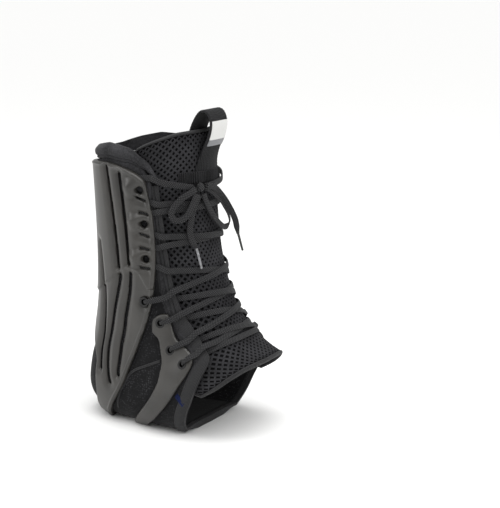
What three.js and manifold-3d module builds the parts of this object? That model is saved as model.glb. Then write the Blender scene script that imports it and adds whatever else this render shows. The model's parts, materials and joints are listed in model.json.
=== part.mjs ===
// Lace-up ankle brace for the right foot, with a moulded outer shell over a knitted boot.
// Millimetres. +X points to the toes, -Y is the outer side of the ankle, +Z is up, the floor is z = 0.
// Places on the brace are given as a section number s, counted from the leg opening down the leg and
// forward along the foot, an angle phi in degrees, 0 at the front, 90 on the outer side and 180 at the
// back or sole, and a height over the form that the brace closes round.
import * as THREE from 'three';
import { mergeVertices } from 'three/addons/utils/BufferGeometryUtils.js';
import Module from 'manifold-3d';

const wasm = await Module();
wasm.setup();

// Sizes of the form
const FORM_HEIGHT = 238;
const FORM_REACH = 158;
const FORM_HALF_WIDTH = 45;

// Sizes of the layers
const GAP = 0.3;
const SHELL_SEAT = 0.9;
const LACE_SEAT = 0.6;
const TONGUE_WALL = 3.0;
const BOOT_WALL = 2.2;
const SHELL_WALL = 2.4;
const SOLE_STRAP = 1.5;
const COLLAR_HEIGHT = 10.5;
const COLLAR_THICKNESS = 4.6;
const BINDING_WIDTH = 3.8;
const BINDING_RISE = 0.8;

// Sizes of the lace and its holes
const LACE_WIDTH = 4.4;
const LACE_THICKNESS = 1.2;
const EYELET_BORE = 6.5;
const SLOT_WIDTH = 2.3;
const HOOK_RADIUS = 8.2;
const HOOK_RISE = 3.0;
const HOOK_BORE = 4.2;
const TIP_LENGTH = 15;
const TIP_DIAMETER = 2.4;
const KNOT_WIDTH = 7.9;
const KNOT_HEIGHT = 4.6;

// Sizes of the pull loop and its label
const WEB_WIDTH = 23;
const WEB_THICKNESS = 1.6;
const LOOP_HEIGHT = 56;
const LOOP_DEPTH = 14;
const LABEL_WIDTH = 20;
const LABEL_THICKNESS = 0.5;

// Heights that follow from the layers
const BOOT_INNER = TONGUE_WALL + GAP;
const BOOT_OUTER = BOOT_INNER + BOOT_WALL;
const SHELL_INNER = BOOT_OUTER + SHELL_SEAT;
const SHELL_OUTER = SHELL_INNER + SHELL_WALL;
const SOLE_RISE = SHELL_INNER + SOLE_STRAP;
const LACE_LIFT = LACE_THICKNESS + LACE_SEAT;
const HALF_LACE = LACE_THICKNESS / 2;
const LACE_ON_TONGUE = TONGUE_WALL + LACE_SEAT + HALF_LACE;
const LACE_CROSSING = LACE_ON_TONGUE + LACE_THICKNESS + LACE_SEAT;
const LACE_ON_BOOT = BOOT_OUTER + LACE_LIFT + LACE_SEAT + HALF_LACE;
const LACE_ON_BINDING = LACE_ON_BOOT + BINDING_RISE;
const LACE_ON_COLLAR = BOOT_INNER + COLLAR_THICKNESS + LACE_LIFT + LACE_SEAT + HALF_LACE;
const LACE_ON_SHELL = SHELL_OUTER + LACE_LIFT + LACE_SEAT + HALF_LACE;

function table(columns, rows) {
  const names = columns.split(' ');
  return rows.map((row) => Object.fromEntries(names.map((name, i) => [name, row[i]])));
}

// The form, a row for each section. Lengths are shares of its reach, height and half width.
const FORM = table('frontX frontZ backX backZ half square', [
  [0.582, 1.000, 0.095, 0.975, 0.722, 2.2],
  [0.595, 0.861, 0.098, 0.840, 0.722, 2.2],
  [0.608, 0.693, 0.108, 0.693, 0.711, 2.2],
  [0.630, 0.555, 0.114, 0.525, 0.700, 2.2],
  [0.658, 0.471, 0.108, 0.382, 0.700, 2.3],
  [0.687, 0.412, 0.082, 0.261, 0.711, 2.4],
  [0.712, 0.374, 0.038, 0.160, 0.722, 2.5],
  [0.741, 0.340, 0.038, 0.071, 0.756, 2.6],
  [0.769, 0.311, 0.146, 0.019, 0.800, 2.7],
  [0.797, 0.286, 0.316, 0.008, 0.856, 2.7],
  [0.829, 0.261, 0.487, 0.004, 0.911, 2.7],
  [0.867, 0.239, 0.658, 0.004, 0.944, 2.7],
  [0.918, 0.218, 0.829, 0.017, 0.967, 2.7],
  [1.000, 0.193, 1.000, 0.017, 1.000, 2.7],
]);

// Front edge of the boot's opening, an angle for each section
const OPENING = table('phi', [[72], [69], [66], [63.5], [61.5], [57.5], [52.5], [49], [49], [51], [54]]);

// Lines of the boot: share of the way round from the opening to the back, and a section number
const COLLAR_LINE = table('round s width', [
  [0, 1.5, 0.45], [0.035, 1.22, 0.55], [0.08, 1.08, 0.7], [0.16, 0.93, 0.9], [0.27, 0.86, 1], [0.42, 0.81, 1],
  [0.6, 0.87, 0.95], [0.8, 0.97, 0.78], [1, 1, 0.72],
]);
const MOUTH_LINE = table('round s', [
  [0, 9.3], [0.04, 9.6], [0.1, 9.85], [0.2, 10.12], [0.32, 10.26], [0.5, 10.44], [0.7, 10.58],
  [0.85, 10.64], [1, 10.66],
]);

// The tongue: share of the way from its middle to its side, its top and its tip
const TONGUE_SPAN = 84;
const TONGUE_LINE = table('aside top tip', [
  [0, 0.64, 12.05], [0.25, 0.64, 11.98], [0.5, 0.66, 11.72], [0.75, 0.78, 11.28], [0.9, 0.87, 10.95],
  [1, 0.96, 10.7],
]);

// Edges of the moulded shell from the top of its wing to the middle of the sole, and the steps after each
// row
const WING = table('frontS frontPhi rearS rearPhi steps', [
  [1.56, 71.5, 1.26, 168, 1],
  [2.26, 67, 2.2, 168, 1],
  [3.02, 67.5, 3.0, 167, 2],
  [3.95, 71.5, 3.9, 163, 2],
  [5.0, 78, 4.9, 147, 2],
  [6.0, 84.5, 5.8, 130, 1],
  [6.8, 93, 6.5, 127, 1],
  [7.45, 105, 7.1, 130, 2],
  [7.85, 120, 7.45, 138, 3],
  [8.1, 144, 7.66, 150, 3],
  [8.25, 180, 7.62, 180, 0],
]);
const WING_CROWN = 0.22;

// Edges of the arch strap from its top eyelet to the middle of the sole
const ARCH = table('frontS frontPhi rearS rearPhi steps', [
  [5.02, 65, 5.02, 71, 1],
  [5.35, 60.5, 5.35, 74.5, 1],
  [5.95, 59, 5.8, 73.5, 1],
  [6.75, 57.5, 6.4, 69, 1],
  [7.4, 55.5, 7.2, 69.5, 1],
  [8.3, 54.5, 7.9, 74, 2],
  [9.05, 58.5, 8.45, 84, 1],
  [9.45, 69, 8.75, 96, 2],
  [9.62, 87, 8.92, 108, 2],
  [9.7, 106, 8.95, 121, 2],
  [9.58, 124, 8.86, 138, 3],
  [9.35, 141, 8.8, 156, 4],
  [9.3, 180, 8.75, 180, 0],
]);

// Grooves cut through a wing, each a line of places
const SLOTS = [
  [[1.3, 115.5], [1.7, 113.5], [2.2, 111], [2.75, 109], [3.28, 108]],
  [[3.5, 107.5], [4.3, 114], [5.1, 116], [6.0, 115.5], [6.7, 115], [7.2, 116.5]],
  [[1.42, 98.5], [1.8, 97], [2.3, 95.5], [2.8, 95], [3.2, 95]],
  [[3.46, 94.5], [3.9, 96.5], [4.7, 101.5], [5.6, 102.5], [6.5, 104], [7.1, 107.5]],
  [[2.8, 136], [3.4, 132], [4.0, 129], [4.7, 126.5], [5.5, 124], [6.5, 122]],
];

// Eyelets from the lowest to the highest, and hooks from the lowest to the highest
const EYELETS = table('s phi', [[8.76, 63.5], [7.37, 63], [5.4, 67.5], [4.35, 80.5]]);
const HOOKS = table('s phi lower upper', [
  [3.08, 82, 3.31, 2.83], [2.34, 81, 2.56, 2.12], [1.7, 83, 1.93, 1.48],
]);
const LOWEST_ROW = 8.98;
const KNOT_PLACE = { s: 1.68, phi: 22.5, height: 8.2 };

// Routes from the highest hooks to the knot, then of the bow's loops and ends: section, angle and height
const LACE_TO_KNOT_NEAR = [
  [1.49, 64, LACE_ON_COLLAR], [1.56, 56, LACE_ON_COLLAR], [1.63, 41, 8.4], [1.675, 30, 8.2],
];
const LACE_TO_KNOT_FAR = [
  [1.49, -64, LACE_ON_COLLAR], [1.55, -56, LACE_ON_COLLAR], [1.6, -35, 7.4], [1.64, -14, 7.2], [1.67, 6, 7.1],
  [1.675, 15, 7.0],
];
const LEFT_LOOP = [
  [1.70, 28, 9.6], [1.76, 34, 10.2], [1.86, 42, 10.4], [2.0, 48, 10.2], [2.14, 51, 10.0],
  [2.25, 49, 9.9], [2.27, 44, 9.9], [2.2, 38.5, 10.0], [2.05, 34, 10.2], [1.9, 30.5, 10.2], [1.79, 27.5, 9.8],
];
const RIGHT_LOOP = [
  [1.70, 15.5, 8.6], [1.76, 9, 8.6], [1.85, 2, 8.6], [1.98, -7, 9.2], [2.13, -14, 9.6], [2.3, -20, 10.6],
  [2.47, -23, 11.0], [2.57, -22, 9.4], [2.58, -16, 7.8], [2.48, -6, 7.6], [2.3, 5, 7.7], [2.1, 12, 7.7],
  [1.92, 16.5, 8.0], [1.81, 18.5, 8.2],
];
const RIGHT_END = [
  [1.66, 15.5, 10.2], [1.70, 8, 10.15], [1.79, 0, 10.15], [1.95, -8, 11.4],
  [2.12, -14, 12.6], [2.3, -19, 14.0],
  [2.46, -22, 15.2], [2.6, -23.5, 15.6], [2.72, -24, 15.8],
];
const RIGHT_TIP = [[2.74, -24, 15.9], [3.4, -25.5, 17.6]];
const LEFT_END = [
  [1.82, 23.5, 7.6], [1.93, 27, 7.6], [2.07, 30.5, 7.5], [2.25, 33, 7.5], [2.43, 35, 7.5], [2.6, 35.5, 7.5],
  [2.75, 34, 7.5], [2.9, 31.5, 7.5],
];
const LEFT_TIP = [[2.925, 31, 7.5], [3.6, 29.5, 7.9]];

// Numbers of steps
const BOOT_STEPS = 20;
const TONGUE_STEPS = 15;
const EDGE_STEPS = 13;
const WEB_STEPS = 20;
const SLOT_STEPS = 4;
const LACE_STEP = 12;
const CORD_STEP = 11;
const BORE_SIDES = 8;
const DOME_SIDES = 9;

const rad = THREE.MathUtils.degToRad;
const mix = THREE.MathUtils.lerp;

// Value of a column between evenly spaced rows, by a curve through all of them
function between(rows, place, column) {
  const last = rows.length - 1;
  const i = Math.min(Math.max(Math.floor(place), 0), last - 1);
  const value = (k) => {
    if (k < 0) return 2 * rows[0][column] - rows[1][column];
    if (k > last) return 2 * rows[last][column] - rows[last - 1][column];
    return rows[k][column];
  };
  const [a, b, c, d] = [value(i - 1), value(i), value(i + 1), value(i + 2)];
  const t = place - i;
  const bend = (2 * a - 5 * b + 4 * c - d) * t * t + (3 * b - a - 3 * c + d) * t * t * t;
  return b + 0.5 * ((c - a) * t + bend);
}

// Value of a column at a share that a first column gives, by straight steps
function along(rows, share, key, column) {
  const k = Math.max(1, rows.findIndex((row) => row[key] >= share - 1e-9));
  const [a, b] = [rows[k - 1], rows[k]];
  return mix(a[column], b[column], (share - a[key]) / (b[key] - a[key]));
}

function formPoint(s, phi) {
  const [x0, x1] = [between(FORM, s, 'backX') * FORM_REACH, between(FORM, s, 'frontX') * FORM_REACH];
  const [z0, z1] = [between(FORM, s, 'backZ') * FORM_HEIGHT, between(FORM, s, 'frontZ') * FORM_HEIGHT];
  const half = between(FORM, s, 'half') * FORM_HALF_WIDTH;
  const square = between(FORM, s, 'square');
  const [c, q] = [Math.cos(rad(phi)), Math.sin(rad(phi))];
  const r = (Math.abs(c) ** square + Math.abs(q) ** square) ** (-1 / square);
  return new THREE.Vector3(
    (x0 + x1) / 2 + ((x1 - x0) / 2) * c * r,
    -half * q * r,
    (z0 + z1) / 2 + ((z1 - z0) / 2) * c * r,
  );
}

const STEP_S = 0.002;
const STEP_PHI = 0.1;

// Steps of the form's surface for one section and for one degree
function slopes(s, phi) {
  const bySection = formPoint(s + STEP_S, phi).sub(formPoint(s - STEP_S, phi)).divideScalar(2 * STEP_S);
  const byDegree = formPoint(s, phi + STEP_PHI).sub(formPoint(s, phi - STEP_PHI)).divideScalar(2 * STEP_PHI);
  return { bySection, byDegree };
}

function outward(s, phi) {
  const { bySection, byDegree } = slopes(s, phi);
  return byDegree.cross(bySection).normalize();
}

// A point at a height over the form, flattened where the brace stands on the floor
function skin(s, phi, height) {
  const point = formPoint(s, phi).addScaledVector(outward(s, phi), height);
  point.z = Math.max(point.z, SOLE_RISE - height, 0);
  return point;
}

// A place moved over the surface by lengths in millimetres, down the brace and round it
function slide([s, phi], down, round) {
  const { bySection, byDegree } = slopes(s, phi);
  return [s + down / bySection.length(), phi + round / byDegree.length()];
}

function openingPhi(s) {
  return between(OPENING, Math.min(s, OPENING.length - 1), 'phi');
}

// The walls stand off the tongue beside the opening, where the lace runs under them
const LIFT_FULL = 24;
const LIFT_END = 46;
function lift(s, phi) {
  const beyond = Math.abs(phi > 180 ? 360 - phi : phi) - openingPhi(s);
  return LACE_LIFT * THREE.MathUtils.smoothstep(LIFT_END - beyond, 0, LIFT_END - LIFT_FULL);
}

// A closed solid from points and triangles, with its faces turned outward
function closed(points, triangles) {
  const geometry = new THREE.BufferGeometry();
  const numbers = points.flatMap((p) => [p.x, p.y, p.z]);
  geometry.setAttribute('position', new THREE.Float32BufferAttribute(numbers, 3));
  let volume = 0;
  for (const [a, b, c] of triangles) volume += points[a].dot(points[b].clone().cross(points[c]));
  geometry.setIndex(triangles.flatMap(([a, b, c]) => (volume < 0 ? [a, c, b] : [a, b, c])));
  return geometry;
}

// A sheet with a thickness, from shares across and along it, two heights and a rule for its places
function sheet(across, alongShares, place, inner, outer) {
  const points = [];
  for (const height of [inner, outer]) {
    for (const v of alongShares) {
      for (const u of across) {
        const [s, phi] = place(u, v);
        points.push(skin(s, phi, height(s, phi, u, v)));
      }
    }
  }
  return stitchSheet(points, across.length, alongShares.length);
}

function stitchSheet(points, columns, rows) {
  const layer = columns * rows;
  const triangles = [];
  const quad = (a, b, c, d) => triangles.push([a, b, c], [a, c, d]);
  for (let i = 0; i < rows - 1; i += 1) {
    for (let j = 0; j < columns - 1; j += 1) {
      const k = i * columns + j;
      quad(k, k + 1, k + columns + 1, k + columns);
      quad(layer + k, layer + k + columns, layer + k + columns + 1, layer + k + 1);
    }
  }
  for (let j = 0; j < columns - 1; j += 1) {
    const end = layer - columns + j;
    quad(j, layer + j, layer + j + 1, j + 1);
    quad(end, end + 1, layer + end + 1, layer + end);
  }
  for (let i = 0; i < rows - 1; i += 1) {
    const k = i * columns;
    const far = k + columns - 1;
    quad(k, k + columns, layer + k + columns, layer + k);
    quad(far, layer + far, layer + far + columns, far + columns);
  }
  return closed(points, triangles);
}

// A section carried along stations, each with its middle, its side and its upward direction
function sweep(stations, section) {
  const n = section.length;
  const points = stations.flatMap(({ at, side, up }) => section.map(([a, b]) => (
    at.clone().addScaledVector(side, a).addScaledVector(up, b))));
  const triangles = [];
  for (let i = 0; i < stations.length - 1; i += 1) {
    for (let j = 0; j < n; j += 1) {
      const [a, b] = [i * n + j, i * n + ((j + 1) % n)];
      triangles.push([a, b, b + n], [a, b + n, a + n]);
    }
  }
  const end = points.length - n;
  for (let j = 1; j < n - 1; j += 1) triangles.push([0, j + 1, j], [end, end + j, end + j + 1]);
  return closed(points, triangles);
}

// Stations along a route of places, no further apart than a longest step.
// The flat side keeps to the surface and folds over at a turn.
function ride(route, longest) {
  const path = new THREE.CatmullRomCurve3(route.map(([s, phi, height]) => new THREE.Vector3(s, phi, height)));
  path.curveType = 'catmullrom';
  const spans = route.length - 1;
  const places = [path.getPoint(0)];
  for (let i = 0; i < spans; i += 1) {
    const steps = Math.ceil(skin(...route[i]).distanceTo(skin(...route[i + 1])) / longest);
    for (let k = 1; k <= steps; k += 1) places.push(path.getPoint((i + k / steps) / spans));
  }
  const points = places.map((p) => skin(p.x, p.y, p.z));
  const last = points.length - 1;
  let side = null;
  return points.map((at, i) => {
    const heading = points[Math.min(i + 1, last)].clone().sub(points[Math.max(i - 1, 0)]).normalize();
    const across = outward(places[i].x, places[i].y).cross(heading);
    const flat = across.length();
    if (side === null) side = across.clone().normalize();
    if (across.dot(side) < 0) across.negate();
    side = side.multiplyScalar(1 - flat).addScaledVector(across, flat);
    side = side.addScaledVector(heading, -side.dot(heading)).normalize();
    return { at, side: side.clone(), up: heading.clone().cross(side) };
  });
}

function ribbonSection(width, thickness) {
  const [a, b] = [width / 2, thickness / 2];
  return [[-a, -b], [a, -b], [a, b], [-a, b]];
}

function ovalSection(width, thickness, sides) {
  return Array.from({ length: sides }, (_, i) => {
    const turn = (2 * Math.PI * (i + 0.5)) / sides;
    return [(width / 2) * Math.cos(turn), (thickness / 2) * Math.sin(turn)];
  });
}

function shares(count) {
  return Array.from({ length: count + 1 }, (_, i) => i / count);
}

// Shares from one side to the other of a sheet that is the same on both sides
function mirrored(half) {
  return [...half.map((u) => -1 + u), ...half.slice(0, -1).reverse().map((u) => 1 - u)];
}

// Joining and cutting
function toSolid(geometry) {
  const plain = geometry.clone();
  plain.deleteAttribute('normal');
  plain.deleteAttribute('uv');
  const merged = mergeVertices(plain, 1e-5);
  const vertProperties = new Float32Array(merged.attributes.position.array);
  const triVerts = new Uint32Array(merged.index.array);
  return new wasm.Manifold(new wasm.Mesh({ numProp: 3, vertProperties, triVerts }));
}

function toGeometry(solid) {
  const mesh = solid.getMesh();
  const geometry = new THREE.BufferGeometry();
  geometry.setAttribute('position', new THREE.BufferAttribute(new Float32Array(mesh.vertProperties), 3));
  geometry.setIndex(new THREE.BufferAttribute(new Uint32Array(mesh.triVerts), 1));
  return geometry;
}

// Turns a shape whose axis is Y so that it stands on the form at a place, at a height over it
function plant(geometry, s, phi, height) {
  const normal = outward(s, phi);
  const turn = new THREE.Quaternion().setFromUnitVectors(new THREE.Vector3(0, 1, 0), normal);
  const at = formPoint(s, phi).addScaledVector(normal, height);
  return geometry.applyMatrix4(new THREE.Matrix4().compose(at, turn, new THREE.Vector3(1, 1, 1)));
}

function boreTool(s, phi, bore) {
  const length = 2 * (SHELL_OUTER + LACE_LIFT);
  const middle = BOOT_INNER + length / 2 - GAP;
  return plant(new THREE.CylinderGeometry(bore / 2, bore / 2, length, BORE_SIDES), s, phi, middle);
}

// Boot, open at the leg, down the front and at the toes
function bootPlace(u, v) {
  const round = Math.abs(u);
  const top = along(COLLAR_LINE, 1 - round, 'round', 's');
  const low = along(MOUTH_LINE, 1 - round, 'round', 's');
  const edge = openingPhi(top);
  const band = COLLAR_HEIGHT * along(COLLAR_LINE, 1 - round, 'round', 'width');
  const [start] = slide([top, mix(edge, 180, 1 - round)], band + GAP, 0);
  const s = mix(start, low, v);
  const phi = mix(openingPhi(s), 180, 1 - round);
  return [s, u > 0 ? 360 - phi : phi];
}

const BOOT_COLUMNS = mirrored([0, 0.035, 0.08, 0.15, 0.25, 0.37, 0.5, 0.64, 0.78, 0.9, 1]);

function boot() {
  const inner = (s, phi) => BOOT_INNER + lift(s, phi);
  const outer = (s, phi) => BOOT_OUTER + lift(s, phi);
  let solid = toSolid(sheet(BOOT_COLUMNS, shares(BOOT_STEPS), bootPlace, inner, outer));
  for (const { s, phi } of EYELETS) {
    solid = solid.subtract(toSolid(boreTool(s, phi, EYELET_BORE)));
    solid = solid.subtract(toSolid(boreTool(s, -phi, EYELET_BORE)));
  }
  return toGeometry(solid);
}

// Padded roll round the leg opening, drawn forward over the end of the binding at its corners
const COLLAR_CORNER = 0.08;
function collar() {
  const place = (u, v) => {
    const round = Math.abs(u);
    const top = along(COLLAR_LINE, 1 - round, 'round', 's');
    const band = v * COLLAR_HEIGHT * along(COLLAR_LINE, 1 - round, 'round', 'width');
    const reach = -(GAP + BINDING_WIDTH) * Math.max(0, 1 - (1 - round) / COLLAR_CORNER);
    const [s] = slide([top, mix(openingPhi(top), 180, 1 - round)], band, 0);
    const [, phi] = slide([s, mix(openingPhi(s), 180, 1 - round)], 0, reach);
    return [s, u > 0 ? 360 - phi : phi];
  };
  const profile = table('down rise', [[0, 0.45], [0.14, 0.84], [0.4, 1], [0.75, 0.85], [1, 0.5]]);
  const inner = (s, phi) => BOOT_INNER + lift(s, phi);
  const outer = (s, phi, u, v) => {
    const full = mix(0.5, 1, along(COLLAR_LINE, 1 - Math.abs(u), 'round', 'width'));
    return inner(s, phi) + full * COLLAR_THICKNESS * along(profile, v, 'down', 'rise');
  };
  return sheet(BOOT_COLUMNS, profile.map((row) => row.down), place, inner, outer);
}

// Edge of the boot beside the opening and round its mouth, as one line of places on a side
function edgeLine(steps) {
  const line = [];
  for (const v of shares(steps)) line.push(bootPlace(-1, v));
  for (const u of BOOT_COLUMNS.filter((share) => share > -1 && share <= 0)) line.push(bootPlace(u, 1));
  return line;
}

// The binding reaches down to the floor between these angles and the back
const SOLE_EDGE = 138;
const SOLE_FLAT = 160;
function binding() {
  const side = edgeLine(EDGE_STEPS);
  const other = side.slice(0, -1).reverse().map(([s, phi]) => [s, 360 - phi]);
  const line = [...side, ...other];
  const shifted = (i, distance) => {
    const [a, b] = [line[Math.max(i - 1, 0)], line[Math.min(i + 1, line.length - 1)]];
    const { bySection, byDegree } = slopes(...line[i]);
    const down = (b[0] - a[0]) * bySection.length();
    const round = (b[1] - a[1]) * byDegree.length();
    const length = Math.hypot(down, round);
    return slide(line[i], (round / length) * distance, (-down / length) * distance);
  };
  const place = (u, v) => shifted(Math.round(v * (line.length - 1)), GAP + u * BINDING_WIDTH);
  const inner = (s, phi) => BOOT_INNER + lift(s, phi);
  const outer = (s, phi, u) => {
    const rise = u === 0.5 ? BINDING_RISE : 0;
    const under = THREE.MathUtils.smoothstep(phi > 180 ? 360 - phi : phi, SOLE_EDGE, SOLE_FLAT);
    return mix(BOOT_OUTER + lift(s, phi) + rise, SOLE_RISE, u === 0.5 ? under : 0);
  };
  return sheet([0, 0.5, 1], shares(line.length - 1), place, inner, outer);
}

// Moulded shell: a wing on each side, joined by a strap under the heel
function stripPlace(rows, crown) {
  return (u, v) => {
    const last = rows.length - 1;
    const place = (1 - Math.abs(v)) * last;
    const lean = crown * Math.sin(Math.PI * u ** 0.65) * Math.max(0, 1 - place);
    const s = mix(between(rows, place, 'frontS'), between(rows, place, 'rearS'), u) - lean;
    const phi = mix(between(rows, place, 'frontPhi'), between(rows, place, 'rearPhi'), u);
    return [s, v > 0 ? 360 - phi : phi];
  };
}

const STRIP_EDGE = 0.55;
const STRIP_COLUMNS = [0, 0.04, 0.22, 0.4, 0.58, 0.77, 0.96, 1];
const ARCH_COLUMNS = [0, 0.08, 0.5, 0.92, 1];

function strip(rows, crown, columns) {
  const last = rows.length - 1;
  const stepsOf = ({ steps }, row) => Array.from({ length: steps }, (_, k) => (row + k / steps) / last);
  const places = rows.flatMap(stepsOf);
  const half = [...places, 1];
  const inner = (s, phi) => SHELL_INNER + lift(s, phi);
  const thinner = (u) => (u === 0 || u === 1 ? STRIP_EDGE * SHELL_WALL : 0);
  const outer = (s, phi, u) => SHELL_OUTER + lift(s, phi) - thinner(u);
  return toSolid(sheet(columns, mirrored(half), stripPlace(rows, crown), inner, outer));
}

// Places along a line, bent smoothly through the given ones
function smoothLine(line, steps) {
  return new THREE.CatmullRomCurve3(line.map(([s, phi]) => new THREE.Vector3(s, phi, 0))).getPoints(steps);
}

function slotTool(line, sign) {
  const steps = smoothLine(line, SLOT_STEPS);
  const width = SLOT_WIDTH / 2;
  const place = (u, v) => {
    const { x, y } = steps[Math.round(v * SLOT_STEPS)];
    const [s, phi] = slide([x, y], 0, u * width);
    return [s, sign * phi];
  };
  const above = () => SHELL_OUTER + LACE_LIFT + HOOK_RISE;
  return toSolid(sheet([-1, 1], shares(SLOT_STEPS), place, () => BOOT_OUTER - GAP, above));
}

// Route of the lace behind a hook: in under the shell's front edge, round the hook's back and out above
function hookRoute({ s, phi, lower, upper }) {
  const turn = table('toMiddle beyond', [[0, -15], [0.06, -1], [0.4, 5], [1, 7]]);
  const half = (end) => turn.map(({ toMiddle, beyond }) =>
    [mix(end, s, toMiddle), phi + beyond, LACE_ON_BOOT]);
  return [...half(lower), ...half(upper).reverse().slice(1)];
}

function mirrorRoute(route, sign) {
  return route.map(([s, phi, height]) => [s, sign * phi, height]);
}

function hookDome(s, phi) {
  const profile = [[0, -SHELL_WALL / 2], [HOOK_RADIUS, -SHELL_WALL / 2]];
  for (const turn of [25, 60]) {
    profile.push([HOOK_RADIUS * Math.cos(rad(turn)), HOOK_RISE * Math.sin(rad(turn))]);
  }
  profile.push([0, HOOK_RISE]);
  const dome = new THREE.LatheGeometry(profile.map(([x, y]) => new THREE.Vector2(x, y)), DOME_SIDES);
  return plant(dome, s, phi, SHELL_OUTER + lift(s, phi));
}

function shell() {
  let solid = strip(WING, WING_CROWN, STRIP_COLUMNS);
  for (const sign of [1, -1]) {
    for (const line of SLOTS) solid = solid.subtract(slotTool(line, sign));
    for (const hook of HOOKS) {
      solid = solid.add(toSolid(hookDome(hook.s, sign * hook.phi)));
      const room = ribbonSection(LACE_WIDTH + 3 * LACE_SEAT, LACE_THICKNESS + 3 * LACE_SEAT);
      solid = solid.subtract(toSolid(sweep(ride(mirrorRoute(hookRoute(hook), sign), LACE_STEP), room)));
      solid = solid.subtract(toSolid(boreTool(hook.s, sign * (hook.phi - 5.5), HOOK_BORE)));
    }
    const top = EYELETS[EYELETS.length - 1];
    solid = solid.subtract(toSolid(boreTool(top.s, sign * top.phi, EYELET_BORE)));
  }
  return toGeometry(solid);
}

function archStrap() {
  let solid = strip(ARCH, 0, ARCH_COLUMNS);
  for (const { s, phi } of EYELETS.slice(0, 3)) {
    for (const sign of [1, -1]) solid = solid.subtract(toSolid(boreTool(s, sign * phi, EYELET_BORE)));
  }
  return toGeometry(solid);
}

// Mesh tongue under the lace
function tongue() {
  const place = (u, v) => {
    const aside = Math.abs(u);
    const s = mix(along(TONGUE_LINE, aside, 'aside', 'top'), along(TONGUE_LINE, aside, 'aside', 'tip'), v);
    return [s, u * TONGUE_SPAN];
  };
  const across = [-1, -0.9, -0.75, -0.5, -0.25, 0, 0.25, 0.5, 0.75, 0.9, 1];
  const outer = (s, phi, u, v) => TONGUE_WALL * (Math.abs(u) === 1 || v === 0 || v === 1 ? 0.6 : 1);
  return sheet(across, [0, 0.01, ...shares(TONGUE_STEPS).slice(1, -1), 0.99, 1], place, () => 0, outer);
}

// Webbing loop: its middle line is given as shares of its depth and height over its lowest point
const WEB_LINE = table('x z wrap', [
  [0.58, 0, 1], [0.54, 0.17, 1], [0.52, 0.33, 0.95], [0.63, 0.49, 0.6], [0.87, 0.64, 0.3],
  [1.0, 0.78, 0.1], [0.98, 0.89, 0], [0.79, 0.98, 0], [0.48, 1.0, 0], [0.2, 0.94, 0],
  [0.0, 0.82, 0.5], [-0.08, 0.71, 0.95], [-0.07, 0.59, 1], [-0.05, 0.48, 1],
]);
const WEB_FOOT = { x: 0.584, z: 0.74 };

function webPoint(share, side, rise) {
  const place = share * (WEB_LINE.length - 1);
  const spot = (p) =>
    new THREE.Vector2(between(WEB_LINE, p, 'x') * LOOP_DEPTH, between(WEB_LINE, p, 'z') * LOOP_HEIGHT);
  const heading = spot(place + 0.01).sub(spot(place - 0.01)).normalize();
  const at = spot(place).add(new THREE.Vector2(heading.y, -heading.x).multiplyScalar(rise));
  const wrap = between(WEB_LINE, place, 'wrap') * side ** 2;
  const bend = wrap * FORM_HALF_WIDTH * 0.06 * (WEB_WIDTH / 23) ** 2;
  const x = WEB_FOOT.x * FORM_REACH + at.x - bend;
  return new THREE.Vector3(x, side * (WEB_WIDTH / 2), WEB_FOOT.z * FORM_HEIGHT + at.y);
}

function webSheet(across, alongShares, low, high, width) {
  const row = (v, rise) => across.map((u) => webPoint(v, u * width, rise));
  const points = [low, high].flatMap((rise) => alongShares.flatMap((v) => row(v, rise)));
  return stitchSheet(points, across.length, alongShares.length);
}

function pullLoop() {
  return webSheet([-1, -0.5, 0, 0.5, 1], shares(WEB_STEPS), -WEB_THICKNESS / 2, WEB_THICKNESS / 2, 1);
}

function label() {
  const low = WEB_THICKNESS / 2 + GAP;
  const range = shares(6).map((v) => mix(0.265, 0.445, v));
  return webSheet([-1, 0, 1], range, low, low + LABEL_THICKNESS, LABEL_WIDTH / WEB_WIDTH);
}

// Height of the lace over the tongue, raised where it crosses the other half
function crossing(from, to, raised) {
  const rows = table('share high', [[0.28, 0], [0.44, 1], [0.56, 1], [0.72, 0]]);
  return rows.map(({ share, high }) => {
    const height = raised && high ? LACE_CROSSING : LACE_ON_TONGUE;
    return [mix(from[0], to[0], share), mix(from[1], to[1], share), height];
  });
}

// Over the edge of the wall on a side, from the hole to the tongue
function overEdge(hole, other, sign) {
  const edge = openingPhi(hole[0]);
  const apart = Math.abs(hole[1]) + Math.abs(other[1]);
  const lean = (phi) => mix(hole[0], other[0], (Math.abs(hole[1]) - phi) / apart);
  const spots = [[edge - 5, LACE_ON_BINDING + 0.4], [edge - 13, LACE_ON_TONGUE + 1.5]];
  return spots.map(([phi, height]) => [lean(phi), sign * phi, height]);
}

function underEdge(hole, other, sign) {
  const edge = openingPhi(hole[0]);
  const apart = Math.abs(hole[1]) + Math.abs(other[1]);
  const lean = (phi) => mix(hole[0], other[0], (Math.abs(hole[1]) - phi) / apart);
  return [edge - 6, edge + 3].map((phi) => [lean(phi), sign * phi, LACE_ON_TONGUE]);
}

// Up through an eyelet from inside, with the lace folded back over the wall
function throughEyelet(s, phi, sign) {
  const rise = LACE_ON_SHELL - LACE_ON_TONGUE;
  const bend = EYELET_BORE / 2;
  const spots = table('round rise', [[-2, 0], [-0.42, 0.04], [0.15, 0.5], [-0.42, 0.96], [-2, 1]]);
  return spots.map((spot) => {
    const [, turned] = slide([s, phi], 0, spot.round * bend);
    return [s, sign * turned, LACE_ON_TONGUE + spot.rise * rise];
  });
}

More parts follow.
